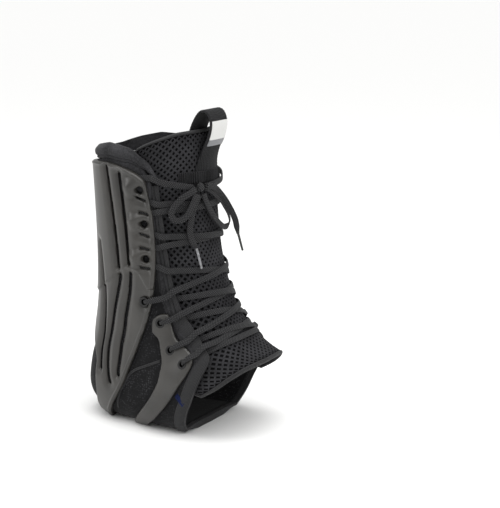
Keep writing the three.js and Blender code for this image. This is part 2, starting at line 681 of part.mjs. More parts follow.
// Half of the lace from the middle of its lowest row up to the knot
function laceHalf(sign) {
  const raised = sign < 0;
  const route = [[LOWEST_ROW, 0, LACE_ON_TONGUE], [LOWEST_ROW, sign * 22, LACE_ON_TONGUE]];
  let side = sign;
  let from = [LOWEST_ROW, 0];
  EYELETS.forEach(({ s, phi }, i) => {
    const hole = [s, side * phi];
    if (i > 0) route.push(...crossing(from, hole, raised));
    route.push(...underEdge(hole, from, side), ...throughEyelet(s, phi, side));
    const next = i < EYELETS.length - 1 ? EYELETS[i + 1] : { s: HOOKS[0].lower, phi: HOOKS[0].phi };
    route.push([hole[0], side * (openingPhi(s) + 2), LACE_ON_BINDING + 0.5]);
    route.push(...overEdge(hole, [next.s, -side * next.phi], side));
    from = hole;
    side = -side;
  });
  HOOKS.forEach((hook, i) => {
    route.push(...crossing(from, [hook.lower, side * hook.phi], raised));
    route.push(...overEdge([hook.lower, side * hook.phi], from, side).reverse());
    route.push(...mirrorRoute(hookRoute(hook), side));
    from = [hook.upper, side * hook.phi];
    if (i < HOOKS.length - 1) {
      const next = HOOKS[i + 1];
      route.push(...overEdge(from, [next.lower, -side * next.phi], side));
      side = -side;
    }
  });
  return { route, side };
}

function lace() {
  const outer = laceHalf(1);
  const inner = laceHalf(-1);
  const toKnot = (side) => (side > 0 ? LACE_TO_KNOT_NEAR : LACE_TO_KNOT_FAR);
  const route = [
    ...[...outer.route, ...toKnot(outer.side)].reverse(),
    ...inner.route.slice(1),
    ...toKnot(inner.side),
  ];
  return sweep(ride(route, LACE_STEP), ribbonSection(LACE_WIDTH, LACE_THICKNESS));
}

// Knot, loops, ends and tips of the bow
function knot() {
  const profile = [[0, -0.5], [0.72, -0.42], [1, -0.12], [1, 0.12], [0.72, 0.42], [0, 0.5]];
  const points = profile.map(([x, y]) => new THREE.Vector2((x * KNOT_WIDTH) / 2, y * KNOT_HEIGHT));
  const { s, phi, height } = KNOT_PLACE;
  return plant(new THREE.LatheGeometry(points, 10), s, phi, height + KNOT_HEIGHT * 0.12);
}

function cord(route) {
  return sweep(ride(route, CORD_STEP), ovalSection(LACE_WIDTH, LACE_THICKNESS, 8));
}

function tip([from, to]) {
  const [start, end] = [skin(...from), skin(...to)];
  const heading = end.clone().sub(start).normalize();
  const path = new THREE.LineCurve3(start, start.clone().addScaledVector(heading, TIP_LENGTH));
  const corners = ovalSection(TIP_DIAMETER, TIP_DIAMETER, 8).map(([x, y]) => new THREE.Vector2(x, y));
  const round = new THREE.Shape(corners);
  return new THREE.ExtrudeGeometry(round, { steps: 1, extrudePath: path, bevelEnabled: false });
}

// Materials
const knit = new THREE.MeshStandardMaterial({ color: 0x303033, roughness: 0.9, metalness: 0 });
const tape = new THREE.MeshStandardMaterial({ color: 0x3f3e40, roughness: 0.8, metalness: 0 });
const moulded = new THREE.MeshStandardMaterial({ color: 0x555450, roughness: 0.5, metalness: 0 });
const mesh = new THREE.MeshStandardMaterial({ color: 0x38383a, roughness: 0.9, metalness: 0 });
const webbing = new THREE.MeshStandardMaterial({ color: 0x2b2a2c, roughness: 0.8, metalness: 0 });
const woven = new THREE.MeshStandardMaterial({ color: 0xe9e9e7, roughness: 0.7, metalness: 0 });
const laceYarn = new THREE.MeshStandardMaterial({ color: 0x454545, roughness: 0.85, metalness: 0 });
const plastic = new THREE.MeshStandardMaterial({ color: 0x8f8f8f, roughness: 0.3, metalness: 0 });

// The whole brace stands with the middle of its heel strap on the floor at the origin
const heelStrap = WING[WING.length - 1];
const heelRest = skin((heelStrap.frontS + heelStrap.rearS) / 2, 180, SHELL_OUTER);
const group = new THREE.Group();
group.position.set(-heelRest.x, 0, 0);

function piece(name, geometry, material) {
  const made = new THREE.Mesh(geometry, material);
  made.name = name;
  group.add(made);
}

piece('boot_shell', boot(), knit);
piece('collar_roll', collar(), knit);
piece('edge_binding', binding(), tape);
piece('moulded_shell', shell(), moulded);
piece('arch_strap', archStrap(), moulded);
piece('tongue', tongue(), mesh);
piece('pull_loop', pullLoop(), webbing);
piece('loop_label', label(), woven);
piece('lace', lace(), laceYarn);
piece('bow_knot', knot(), laceYarn);
piece('bow_loop_left', cord(LEFT_LOOP), laceYarn);
piece('bow_loop_right', cord(RIGHT_LOOP), laceYarn);
piece('lace_end_left', cord(LEFT_END), laceYarn);
piece('lace_end_right', cord(RIGHT_END), laceYarn);
piece('lace_tip_left', tip(LEFT_TIP), plastic);
piece('lace_tip_right', tip(RIGHT_TIP), plastic);

export default group;
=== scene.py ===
# %% [markdown]
# # A lace-up ankle brace
# A brace of this kind is a soft knitted boot, open down the front over a mesh tongue. A moulded outer
# shell stiffens both of its sides, and one long flat lace closes everything.
# The solid parts are loaded first as a fixed frame. Every piece made here is laid over them in the same
# place, so nothing has to be fitted by hand afterwards.

# %% The fixed frame
import json
import math

import bmesh
import bpy
import numpy as np
from mathutils import Matrix, Vector, kdtree
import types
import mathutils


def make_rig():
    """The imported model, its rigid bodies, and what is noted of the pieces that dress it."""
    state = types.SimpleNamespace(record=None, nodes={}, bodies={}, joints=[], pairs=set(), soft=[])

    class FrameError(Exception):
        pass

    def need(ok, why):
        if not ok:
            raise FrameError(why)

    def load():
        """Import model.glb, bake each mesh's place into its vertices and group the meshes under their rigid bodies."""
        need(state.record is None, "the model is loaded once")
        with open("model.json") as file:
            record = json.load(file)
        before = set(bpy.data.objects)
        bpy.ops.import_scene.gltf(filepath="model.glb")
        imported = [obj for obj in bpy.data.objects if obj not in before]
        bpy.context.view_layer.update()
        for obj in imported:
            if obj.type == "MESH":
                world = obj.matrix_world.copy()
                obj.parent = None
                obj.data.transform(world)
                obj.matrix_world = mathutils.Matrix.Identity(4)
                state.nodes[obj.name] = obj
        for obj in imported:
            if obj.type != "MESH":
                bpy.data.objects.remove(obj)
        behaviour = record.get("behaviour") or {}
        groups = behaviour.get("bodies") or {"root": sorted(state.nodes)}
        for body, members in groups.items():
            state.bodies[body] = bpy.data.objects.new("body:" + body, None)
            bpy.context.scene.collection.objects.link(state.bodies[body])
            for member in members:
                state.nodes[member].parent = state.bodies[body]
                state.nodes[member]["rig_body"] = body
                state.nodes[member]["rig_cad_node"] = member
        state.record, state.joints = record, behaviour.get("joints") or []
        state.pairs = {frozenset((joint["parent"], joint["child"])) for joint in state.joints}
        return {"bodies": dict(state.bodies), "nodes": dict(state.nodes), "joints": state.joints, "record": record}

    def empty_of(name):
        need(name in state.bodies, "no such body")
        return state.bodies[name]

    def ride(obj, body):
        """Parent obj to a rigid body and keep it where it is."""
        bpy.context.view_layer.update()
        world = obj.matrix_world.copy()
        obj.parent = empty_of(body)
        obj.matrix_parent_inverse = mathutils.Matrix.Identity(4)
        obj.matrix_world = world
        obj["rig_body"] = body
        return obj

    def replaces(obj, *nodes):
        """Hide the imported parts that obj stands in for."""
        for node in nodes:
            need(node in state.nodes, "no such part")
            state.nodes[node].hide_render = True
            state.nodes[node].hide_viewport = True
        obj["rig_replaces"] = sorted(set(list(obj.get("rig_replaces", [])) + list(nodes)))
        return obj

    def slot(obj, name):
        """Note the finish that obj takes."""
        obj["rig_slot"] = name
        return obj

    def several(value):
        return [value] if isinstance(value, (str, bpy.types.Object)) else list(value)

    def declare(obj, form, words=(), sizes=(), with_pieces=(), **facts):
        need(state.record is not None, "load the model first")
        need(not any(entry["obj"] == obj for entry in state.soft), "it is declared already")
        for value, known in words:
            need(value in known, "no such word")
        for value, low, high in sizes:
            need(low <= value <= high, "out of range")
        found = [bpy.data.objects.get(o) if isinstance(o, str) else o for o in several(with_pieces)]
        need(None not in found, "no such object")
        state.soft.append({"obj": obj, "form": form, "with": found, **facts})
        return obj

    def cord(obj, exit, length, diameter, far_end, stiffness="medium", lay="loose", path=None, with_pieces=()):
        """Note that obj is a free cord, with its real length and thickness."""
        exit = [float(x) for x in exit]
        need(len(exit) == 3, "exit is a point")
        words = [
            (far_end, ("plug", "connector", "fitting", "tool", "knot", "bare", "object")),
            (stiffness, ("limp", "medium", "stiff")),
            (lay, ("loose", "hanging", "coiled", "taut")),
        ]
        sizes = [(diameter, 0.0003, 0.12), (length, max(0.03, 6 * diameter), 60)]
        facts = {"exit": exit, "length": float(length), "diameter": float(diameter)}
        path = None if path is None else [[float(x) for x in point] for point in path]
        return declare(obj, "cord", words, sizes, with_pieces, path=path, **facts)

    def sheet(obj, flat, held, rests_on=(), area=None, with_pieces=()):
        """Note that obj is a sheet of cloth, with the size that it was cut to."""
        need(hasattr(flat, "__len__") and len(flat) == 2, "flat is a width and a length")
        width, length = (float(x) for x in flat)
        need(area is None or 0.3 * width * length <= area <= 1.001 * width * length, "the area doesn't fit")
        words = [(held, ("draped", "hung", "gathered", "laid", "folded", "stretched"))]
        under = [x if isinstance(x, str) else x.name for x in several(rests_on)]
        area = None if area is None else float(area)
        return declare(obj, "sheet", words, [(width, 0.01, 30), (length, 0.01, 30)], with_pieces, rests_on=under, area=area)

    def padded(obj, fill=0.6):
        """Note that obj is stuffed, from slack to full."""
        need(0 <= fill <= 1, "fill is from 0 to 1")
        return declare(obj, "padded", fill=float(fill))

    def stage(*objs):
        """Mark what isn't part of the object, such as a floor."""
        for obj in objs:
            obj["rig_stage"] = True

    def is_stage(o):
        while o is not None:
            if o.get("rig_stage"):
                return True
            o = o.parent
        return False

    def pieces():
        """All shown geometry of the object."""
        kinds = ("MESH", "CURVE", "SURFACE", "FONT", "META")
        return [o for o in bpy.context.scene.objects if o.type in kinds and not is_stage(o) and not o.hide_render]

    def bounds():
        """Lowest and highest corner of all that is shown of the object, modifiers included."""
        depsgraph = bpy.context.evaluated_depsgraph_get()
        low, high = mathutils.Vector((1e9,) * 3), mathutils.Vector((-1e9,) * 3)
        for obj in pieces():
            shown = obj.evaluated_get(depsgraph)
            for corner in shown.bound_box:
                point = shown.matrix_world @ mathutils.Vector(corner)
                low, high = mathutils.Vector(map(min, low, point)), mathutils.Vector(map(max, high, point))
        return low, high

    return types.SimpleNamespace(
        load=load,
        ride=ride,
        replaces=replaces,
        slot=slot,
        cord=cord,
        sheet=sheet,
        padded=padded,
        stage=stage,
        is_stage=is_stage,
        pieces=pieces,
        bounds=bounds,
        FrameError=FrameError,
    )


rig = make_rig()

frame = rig.load()
cad_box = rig.bounds()
print("nodes:", sorted(frame["nodes"]))

# %% [markdown]
# ## Camera, floor and light
# The camera stands a metre away with a long lens, so the brace is drawn with little perspective.
# The floor is one large pale disc. A broad sun lights it evenly up to the horizon, which a small lamp
# could not do, and three soft boxes add the long highlights that show the shapes of dark pieces.

# %% Camera
MM = 0.001
LOOK_AT = Vector((113.45, 0, 130)) * MM
CAMERA_TURN = math.radians(30)
CAMERA_RISE = math.radians(12)
CAMERA_AWAY = 1.020
LENS = 101.62
SENSOR_WIDTH = 36
NEAREST = 0.05


def aim(thing, place, target):
    thing.location = place
    thing.rotation_euler = (target - place).to_track_quat("-Z", "Y").to_euler()


camera = bpy.data.objects.new("camera", bpy.data.cameras.new("camera"))
bpy.context.scene.collection.objects.link(camera)
camera.data.lens = LENS
camera.data.sensor_width = SENSOR_WIDTH
camera.data.clip_start = NEAREST
level = math.cos(CAMERA_RISE)
toward_camera = Vector((math.sin(CAMERA_TURN) * level, -math.cos(CAMERA_TURN) * level,
                        math.sin(CAMERA_RISE)))
aim(camera, LOOK_AT + toward_camera * CAMERA_AWAY, LOOK_AT)
bpy.context.scene.camera = camera
print("camera at", tuple(round(c, 3) for c in camera.location))


# %% Colours and nodes
def linear(colour):
    """Turns an sRGB hex colour into the linear values that the shader wants."""
    parts = [int(colour[i:i + 2], 16) / 255 for i in (1, 3, 5)]
    return tuple(c / 12.92 if c <= 0.04045 else ((c + 0.055) / 1.055) ** 2.4 for c in parts) + (1.0,)


def add(tree, kind, values=None, links=None, stops=(), **settings):
    """Adds a node with its settings, the values of its sockets, what is linked to them and, for a
    colour ramp, its stops."""
    node = tree.nodes.new(kind)
    for name, setting in settings.items():
        setattr(node, name, setting)
    for name, value in (values or {}).items():
        node.inputs[name].default_value = value
    for name, source in (links or {}).items():
        tree.links.new(source, node.inputs[name])
    for i, (position, colour) in enumerate(stops):
        node.color_ramp.elements[i].position = position
        node.color_ramp.elements[i].color = linear(colour)
    return node


def new_material(name, **sockets):
    """Starts a material and gives its tree and its shader, with the sockets that are the same all over."""
    material = bpy.data.materials.new(name)
    material.use_nodes = True
    tree = material.node_tree
    shader = tree.nodes["Principled BSDF"]
    for socket, value in sockets.items():
        shader.inputs[socket.replace("_", " ")].default_value = value
    return material, tree, shader


# %% Floor and light
FLOOR_COLOUR = "#f1f1f0"
FLOOR_RADIUS = 16
WORLD_COLOUR = "#fafafa"
WORLD_STRENGTH = 0.72
SUN_PLACE = Vector((0.75, -0.35, 1.7))
SUN_ENERGY = 1.5
SUN_WIDTH = math.radians(55)
# Each soft box has a name, a place, a width, a height and a power in watts
BOXES = [
    ("left_box", (-0.75, -0.75, 0.75), 0.35, 0.9, 4.5),
    ("right_box", (1.0, -0.35, 0.6), 0.4, 0.8, 2.0),
    ("top_box", (0.0, 0.1, 1.0), 0.8, 0.8, 4.0),
]


def plain_floor():
    bm = bmesh.new()
    bmesh.ops.create_circle(bm, cap_ends=True, segments=96, radius=FLOOR_RADIUS)
    mesh = bpy.data.meshes.new("floor")
    bm.to_mesh(mesh)
    floor = bpy.data.objects.new("floor", mesh)
    bpy.context.scene.collection.objects.link(floor)
    material, tree, shader = new_material("painted_floor", Roughness=0.9, Specular_IOR_Level=0.1)
    shader.inputs["Base Color"].default_value = linear(FLOOR_COLOUR)
    mesh.materials.append(material)
    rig.stage(floor)


def soft_box(name, place, width, height, power):
    lamp = bpy.data.lights.new(name, "AREA")
    lamp.shape = "RECTANGLE"
    lamp.size, lamp.size_y, lamp.energy = width, height, power
    box = bpy.data.objects.new(name, lamp)
    bpy.context.scene.collection.objects.link(box)
    aim(box, Vector(place), LOOK_AT)


plain_floor()
sun = bpy.data.lights.new("broad_sun", "SUN")
sun.energy, sun.angle = SUN_ENERGY, SUN_WIDTH
sun_object = bpy.data.objects.new("broad_sun", sun)
bpy.context.scene.collection.objects.link(sun_object)
aim(sun_object, SUN_PLACE, LOOK_AT)
for box in BOXES:
    soft_box(*box)
world = bpy.data.worlds.new("pale_room")
world.use_nodes = True
sky = world.node_tree.nodes["Background"]
sky.inputs["Color"].default_value = linear(WORLD_COLOUR)
sky.inputs["Strength"].default_value = WORLD_STRENGTH
bpy.context.scene.world = world
bpy.context.scene.view_settings.view_transform = "Standard"
print("lamps:", [box[0] for box in BOXES])

# %% [markdown]
# ## The form under the brace
# All soft layers follow one rounded form. A place on it is a section number, counted down from the upper
# opening and on to the front one, and an angle, 0 at the front, 90 outside and 180 at the back. With a
# height over the form, that is enough to lay any wall, band or lace on it, each layer over the last.
# The numbers are those of the solid parts, in millimetres.

# %% The form
ORIGIN_X = 18.5469
SOLE_RISE = 7.9
TONGUE_WALL = 3.0
BOOT_INNER = 3.3
BOOT_OUTER = 5.5
SHELL_INNER = 6.4
SHELL_OUTER = 8.8
LACE_LIFT = 1.8
LACE_WIDTH = 4.4
LACE_THICKNESS = 1.2
FORM_REACH, FORM_HEIGHT, FORM_HALF_WIDTH = 158, 238, 45
# Each section gives its front point and its back point, its half width and how square it is
FORM = np.array([
    [0.582, 1.000, 0.095, 0.975, 0.722, 2.2],
    [0.595, 0.861, 0.098, 0.840, 0.722, 2.2],
    [0.608, 0.693, 0.108, 0.693, 0.711, 2.2],
    [0.630, 0.555, 0.114, 0.525, 0.700, 2.2],
    [0.658, 0.471, 0.108, 0.382, 0.700, 2.3],
    [0.687, 0.412, 0.082, 0.261, 0.711, 2.4],
    [0.712, 0.374, 0.038, 0.160, 0.722, 2.5],
    [0.741, 0.340, 0.038, 0.071, 0.756, 2.6],
    [0.769, 0.311, 0.146, 0.019, 0.800, 2.7],
    [0.797, 0.286, 0.316, 0.008, 0.856, 2.7],
    [0.829, 0.261, 0.487, 0.004, 0.911, 2.7],
    [0.867, 0.239, 0.658, 0.004, 0.944, 2.7],
    [0.918, 0.218, 0.829, 0.017, 0.967, 2.7],
    [1.000, 0.193, 1.000, 0.017, 1.000, 2.7],
]) * [FORM_REACH, FORM_HEIGHT, FORM_REACH, FORM_HEIGHT, FORM_HALF_WIDTH, 1]
# Angle of the opening's edge at each section
OPENING = np.array([[72], [69], [66], [63.5], [61.5], [57.5], [52.5], [49], [49], [51], [54]])


def between(rows, place):
    """Values of the rows at a place between them, by a curve through all rows."""
    rows, place = np.asarray(rows, float), np.atleast_1d(place)
    more = np.vstack([2 * rows[0] - rows[1], rows, 2 * rows[-1] - rows[-2]])
    i = np.clip(np.floor(place).astype(int), 0, len(rows) - 2)
    t = (place - i)[:, None]
    a, b, c, d = more[i], more[i + 1], more[i + 2], more[i + 3]
    return b + 0.5 * ((c - a) * t + (2 * a - 5 * b + 4 * c - d) * t ** 2 + (3 * b - a - 3 * c + d) * t ** 3)


def form_point(s, phi):
    """The point of the form at a section and an angle."""
    x1, z1, x0, z0, half, square = between(FORM, s).T
    c, q = np.cos(np.radians(phi)), np.sin(np.radians(phi))
    r = (np.abs(c) ** square + np.abs(q) ** square) ** (-1 / square)
    x = (x0 + x1) / 2 + (x1 - x0) / 2 * c * r
    z = (z0 + z1) / 2 + (z1 - z0) / 2 * c * r
    return np.stack([x, -half * q * r, z], -1)


def slopes(s, phi, part=0.002, turn=0.1):
    """Steps of the surface, in millimetres, for one section and for one degree."""
    by_section = (form_point(s + part, phi) - form_point(s - part, phi)) / (2 * part)
    by_degree = (form_point(s, phi + turn) - form_point(s, phi - turn)) / (2 * turn)
    return by_section, by_degree


def unit(vectors):
    return vectors / np.linalg.norm(vectors, axis=-1, keepdims=True)


def outward(s, phi):
    by_section, by_degree = slopes(s, phi)
    return unit(np.cross(by_degree, by_section))


def settle(points, height):
    """Flattens points where the brace stands on the floor."""
    points[:, 2] = np.maximum(points[:, 2], np.maximum(SOLE_RISE - height, 0))
    return points


def skin(s, phi, height):
    """Points at a height over the form."""
    s, phi, height = np.broadcast_arrays(np.atleast_1d(s).astype(float), phi, height)
    return settle(form_point(s, phi) + outward(s, phi) * height[:, None], height)


def slide(s, phi, down, round_):
    """A place moved down and round the form by lengths in millimetres."""
    by_section, by_degree = slopes(np.atleast_1d(s), np.atleast_1d(phi))
    return s + down / np.linalg.norm(by_section, axis=-1), phi + round_ / np.linalg.norm(by_degree, axis=-1)


def opening_phi(s):
    return between(OPENING, np.minimum(s, len(OPENING) - 1))[:, 0]


def smooth(x):
    x = np.clip(x, 0, 1)
    return x * x * (3 - 2 * x)


def from_front(phi):
    """The angle from the front, the same on both sides."""
    return np.where(phi > 180, 360 - phi, phi)


def both_sides(across, phi):
    """Mirrors the angle on the half of a sheet that lies across the middle."""
    return np.where(across > 0, 360 - phi, phi)


LIFT_ENDS = 46
LIFT_FALLS = 22


def lift(s, phi):
    """How far the walls stand off the tongue beside the opening, where the lace runs under them."""
    past_edge = np.abs(from_front(phi)) - opening_phi(s)
    return LACE_LIFT * smooth((LIFT_ENDS - past_edge) / LIFT_FALLS)


def run_length(points):
    """Length along a line of points, from its start to each of them."""
    return np.concatenate([[0], np.cumsum(np.linalg.norm(np.diff(points, axis=0), axis=-1))])


def share_curve(rows, column, soft=0.02):
    """A column of a table against its first one, with the corners between the rows rounded."""
    rows = np.array(rows)
    fine = np.linspace(0, 1, 601)
    values = np.interp(fine, rows[:, 0], rows[:, column])
    reach = int(soft * 600)
    padded_values = np.pad(values, reach, mode="reflect", reflect_type="odd")
    rounded = np.convolve(padded_values, np.ones(2 * reach + 1) / (2 * reach + 1), mode="valid")
    return lambda share: np.interp(share, fine, rounded)


print("form is", round(float(form_point(0.0, 0.0)[0, 2]), 1), "mm high at the front")


# %% From millimetres to a finished object
def to_metres(points):
    return (np.asarray(points) - [ORIGIN_X, 0, 0]) * MM


def finished(bm, name, material, replaces=(), slot=None, smooth_angle=40):
    """Turns a bmesh in millimetres of the form into an object in metres that rides with the brace."""
    bmesh.ops.translate(bm, vec=(-ORIGIN_X, 0, 0), verts=bm.verts)
    bmesh.ops.scale(bm, vec=(MM, MM, MM), verts=bm.verts)
    mesh = bpy.data.meshes.new(name)
    bm.to_mesh(mesh)
    bm.free()
    mesh.shade_smooth()
    mesh.set_sharp_from_angle(angle=math.radians(smooth_angle))
    for one in material if isinstance(material, list) else [material]:
        mesh.materials.append(one)
    piece = bpy.data.objects.new(name, mesh)
    bpy.context.scene.collection.objects.link(piece)
    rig.ride(piece, "root")
    if replaces:
        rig.replaces(piece, *replaces)
    if slot:
        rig.slot(piece, slot)
    mesh.calc_loop_triangles()
    corners = np.array([v.co for v in mesh.vertices])
    span = (corners.max(axis=0) - corners.min(axis=0)) / MM
    print(f"{name}: {len(mesh.loop_triangles)} triangles, {span.round(1)} mm")
    return piece


def finder(points):
    """A tree that finds the nearest of the given points."""
    tree = kdtree.KDTree(len(points))
    for i, point in enumerate(points):
        tree.insert(point, i)
    tree.balance()
    return tree


def distances(tree, points):
    return np.array([tree.find(point)[2] for point in points])


# %% [markdown]
# ## One way to make every wall
# Boot, shell, strap, collar, binding and tongue are all sheets with a thickness. A flat grid is laid on
# the form, the cells that fall in a slot or eyelet are deleted, and the cut edge is drawn to its true
# line. Extruding the whole sheet gives the second side and the rim at once, so the wall is closed.
# Subtracting tools from a thick solid would also work, but leaves long thin triangles that shade badly.

# %% The wall maker
def lay_grid(columns, rows, place):
    """A grid laid on the form: its bmesh, its shares across and along, and its sections and angles."""
    bm = bmesh.new()
    bmesh.ops.create_grid(bm, x_segments=columns, y_segments=rows, size=0.5)
    shares = np.array([v.co[:2] for v in bm.verts]) + 0.5
    s, phi = place(shares[:, 0], shares[:, 1])
    return bm, shares, s, phi


def cloth_lengths(points, columns, rows):
    """Real lengths across and along a grid, measured from its middle, for the weave to follow."""
    grid = points.reshape(rows + 1, columns + 1, 3)
    across = np.zeros((rows + 1, columns + 1))
    across[:, 1:] = np.cumsum(np.linalg.norm(np.diff(grid, axis=1), axis=-1), axis=1)
    across -= across[:, columns // 2][:, None]
    down = np.zeros((rows + 1, columns + 1))
    down[1:] = np.cumsum(np.linalg.norm(np.diff(grid, axis=0), axis=-1), axis=0)
    return np.stack([across.ravel(), down.ravel()], -1)


TRIM_FROM, TRIM_TO = 0.05, 0.9


def cut_holes(bm, holes):
    """Deletes the cells inside each hole, given as a middle line and a radius, and trims to its edge."""
    for line, radius in holes:
        tree = finder(line)
        inside = [f for f in bm.faces if tree.find(f.calc_center_median())[2] < radius]
        bmesh.ops.delete(bm, geom=inside, context="FACES")
        for v in (v for v in bm.verts if v.is_boundary):
            near, _, gap = tree.find(v.co)
            if TRIM_FROM < gap < radius + TRIM_TO:
                v.co = near + (v.co - near) * (radius / gap)


def number_verts(bm):
    """Numbers the vertices, so that their facts are found again after cells are deleted."""
    number = bm.verts.layers.int.new("number")
    for i, v in enumerate(bm.verts):
        v[number] = i
    return number


def lay_cloth(bm, number, cloth):
    """Stores the real lengths on the sheet as its UV map, for the weave to follow."""
    sheet_uv = bm.loops.layers.uv.new("cloth")
    for face in bm.faces:
        for loop in face.loops:
            loop[sheet_uv].uv = cloth[loop.vert[number]]


def thicken(bm, number, inner, outer):
    """Extrudes a numbered sheet whole, and sets its inner and outer sides in place."""
    old = set(bm.verts)
    bmesh.ops.extrude_face_region(bm, geom=bm.faces[:], use_keep_orig=True)
    for v in bm.verts:
        v.co = (inner if v in old else outer)[v[number]]
    bmesh.ops.recalc_face_normals(bm, faces=bm.faces)
    if bm.calc_volume(signed=True) < 0:
        bmesh.ops.reverse_faces(bm, faces=bm.faces)


OUTLINE_STEPS = 1200
NO_HOLE = 99.0


def wall(name, size, place, low, high, material, holes=(), ends=True, pick=None, **finish):
    """A wall on the form. low and high give heights from the places and the distances to its edges."""
    columns, rows = size
    bm, shares, s, phi = lay_grid(columns, rows, place)
    base, out = form_point(s, phi), outward(s, phi)
    middle = SHELL_INNER if holes else BOOT_OUTER
    cloth = cloth_lengths(settle(base + out * middle, np.full(len(s), middle)), columns, rows)
    number = number_verts(bm)
    for v in bm.verts:
        v.co = base[v[number]] + out[v[number]] * middle
    cut_holes(bm, holes)
    for v in bm.verts:
        base[v[number]] = np.array(v.co) - out[v[number]] * middle
    at = base + out * middle
    line = np.linspace(0, 1, OUTLINE_STEPS)
    first, last = np.zeros(OUTLINE_STEPS), np.ones(OUTLINE_STEPS)
    outline = [place(first, line), place(last, line)]
    if ends:
        outline += [place(line, first), place(line, last)]
    border = finder(np.vstack([form_point(*o) + outward(*o) * middle for o in outline]))
    edge = distances(border, at)
    cut = np.full(len(s), NO_HOLE)
    for points, radius in holes:
        cut = np.minimum(cut, distances(finder(points), at) - radius)
    facts = {"s": s, "phi": phi, "u": shares[:, 0], "v": shares[:, 1], "edge": edge, "cut": cut, "at": at}
    inner, outer = low(facts), high(facts)
    lay_cloth(bm, number, cloth)
    picked = pick(facts) if pick else np.zeros(len(s), bool)
    for face in bm.faces:
        face.material_index = int(all(picked[v[number]] for v in face.verts))
    thicken(bm, number, settle(base + out * inner[:, None], inner),
            settle(base + out * outer[:, None], outer))
    return finished(bm, name, material, **finish)


def evenly(place, rounds=900):
    """The same rule for places, but with equal steps along the middle of the sheet."""
    t = np.linspace(0, 1, rounds)
    s, phi = place(np.full(rounds, 0.5), t)
    middle = form_point(s, phi)
    length = run_length(middle)
    return lambda u, v: place(u, np.interp(v, length / length[-1], t))


def rounded(distance, radius, depth):
    """How much lower a surface lies near an edge that is rounded over."""
    x = np.clip(distance / radius, 0, 1)
    return depth * (1 - np.sqrt(np.maximum(0, 1 - (1 - x) ** 2)))


# %% [markdown]
# ## Finishes
# The brace is nearly all dark grey, so the pieces are told apart by their surfaces. Each finish gets its
# own weave, grain or gloss. Cloth follows the lengths stored on the sheet; the moulded plastic and the
# brushed knit have no direction, and read the place in space.

# %% Moulded plastic
def moulded_plastic(name, dark, light, gloss=0.33):
    """Thermoplastic polyurethane, moulded in a finely etched tool: satin, with faint cloudy tone."""
    material, tree, shader = new_material(name, Roughness=0.42, IOR=1.5, Specular_IOR_Level=0.5)
    place = add(tree, "ShaderNodeTexCoord").outputs["Object"]
    cloud = add(tree, "ShaderNodeTexNoise", {"Scale": 55.0, "Detail": 4.0}, {"Vector": place})
    colour = add(tree, "ShaderNodeValToRGB", links={"Fac": cloud.outputs["Fac"]},
                 stops=[(0.3, dark), (0.7, light)])
    tree.links.new(colour.outputs["Color"], shader.inputs["Base Color"])
    worn = add(tree, "ShaderNodeMapRange", {"To Min": gloss, "To Max": gloss + 0.12},
               {"Value": cloud.outputs["Fac"]})
    tree.links.new(worn.outputs["Result"], shader.inputs["Roughness"])
    grain = add(tree, "ShaderNodeTexNoise", {"Scale": 1600.0, "Detail": 2.0}, {"Vector": place})
    bump = add(tree, "ShaderNodeBump", {"Strength": 0.25, "Distance": 0.0001},
               {"Height": grain.outputs["Fac"]})
    tree.links.new(bump.outputs["Normal"], shader.inputs["Normal"])
    return material


# %% Knit
def brushed_knit(name, dark, light, sheen=0.35, loop=1.5, open_work=0.0):
    """Polyester knit over foam, brushed: short fibres stand up and catch light at glancing angles.
    loop is the width of its loops in millimetres, open_work how dark the gaps between them are."""
    material, tree, shader = new_material(name, Roughness=0.95, Specular_IOR_Level=0.06, Sheen_Weight=sheen,
                                          Sheen_Roughness=0.4)
    place = add(tree, "ShaderNodeTexCoord").outputs["Object"]
    fibre = add(tree, "ShaderNodeTexNoise", {"Scale": 900.0, "Detail": 3.0, "Roughness": 0.7},
                {"Vector": place})
    patch = add(tree, "ShaderNodeTexNoise", {"Scale": 70.0, "Detail": 3.0}, {"Vector": place})
    both = add(tree, "ShaderNodeMix", {"Factor": 0.55},
               {"A": patch.outputs["Fac"], "B": fibre.outputs["Fac"]})
    loops = add(tree, "ShaderNodeTexVoronoi", {"Scale": 1000.0 / loop, "Randomness": 0.55}, {"Vector": place})
    raised = add(tree, "ShaderNodeMapRange", {"From Min": 0.15, "From Max": 0.65, "To Min": 0.0,
                                              "To Max": -open_work}, {"Value": loops.outputs["Distance"]})
    level = add(tree, "ShaderNodeMath", links={0: both.outputs["Result"], 1: raised.outputs["Result"]},
                operation="ADD")
    colour = add(tree, "ShaderNodeValToRGB", links={"Fac": level.outputs["Value"]},
                 stops=[(0.3, dark), (0.6, light)])
    tree.links.new(colour.outputs["Color"], shader.inputs["Base Color"])
    bump = add(tree, "ShaderNodeBump", {"Strength": 0.5, "Distance": 0.0005},
               {"Height": level.outputs["Value"]})
    tree.links.new(bump.outputs["Normal"], shader.inputs["Normal"])
    return material


# %% Woven tapes
# A wave texture repeats each pi / 10 units at scale one, so this scale gives one rib a millimetre
ONE_RIB = 2 * math.pi / 20


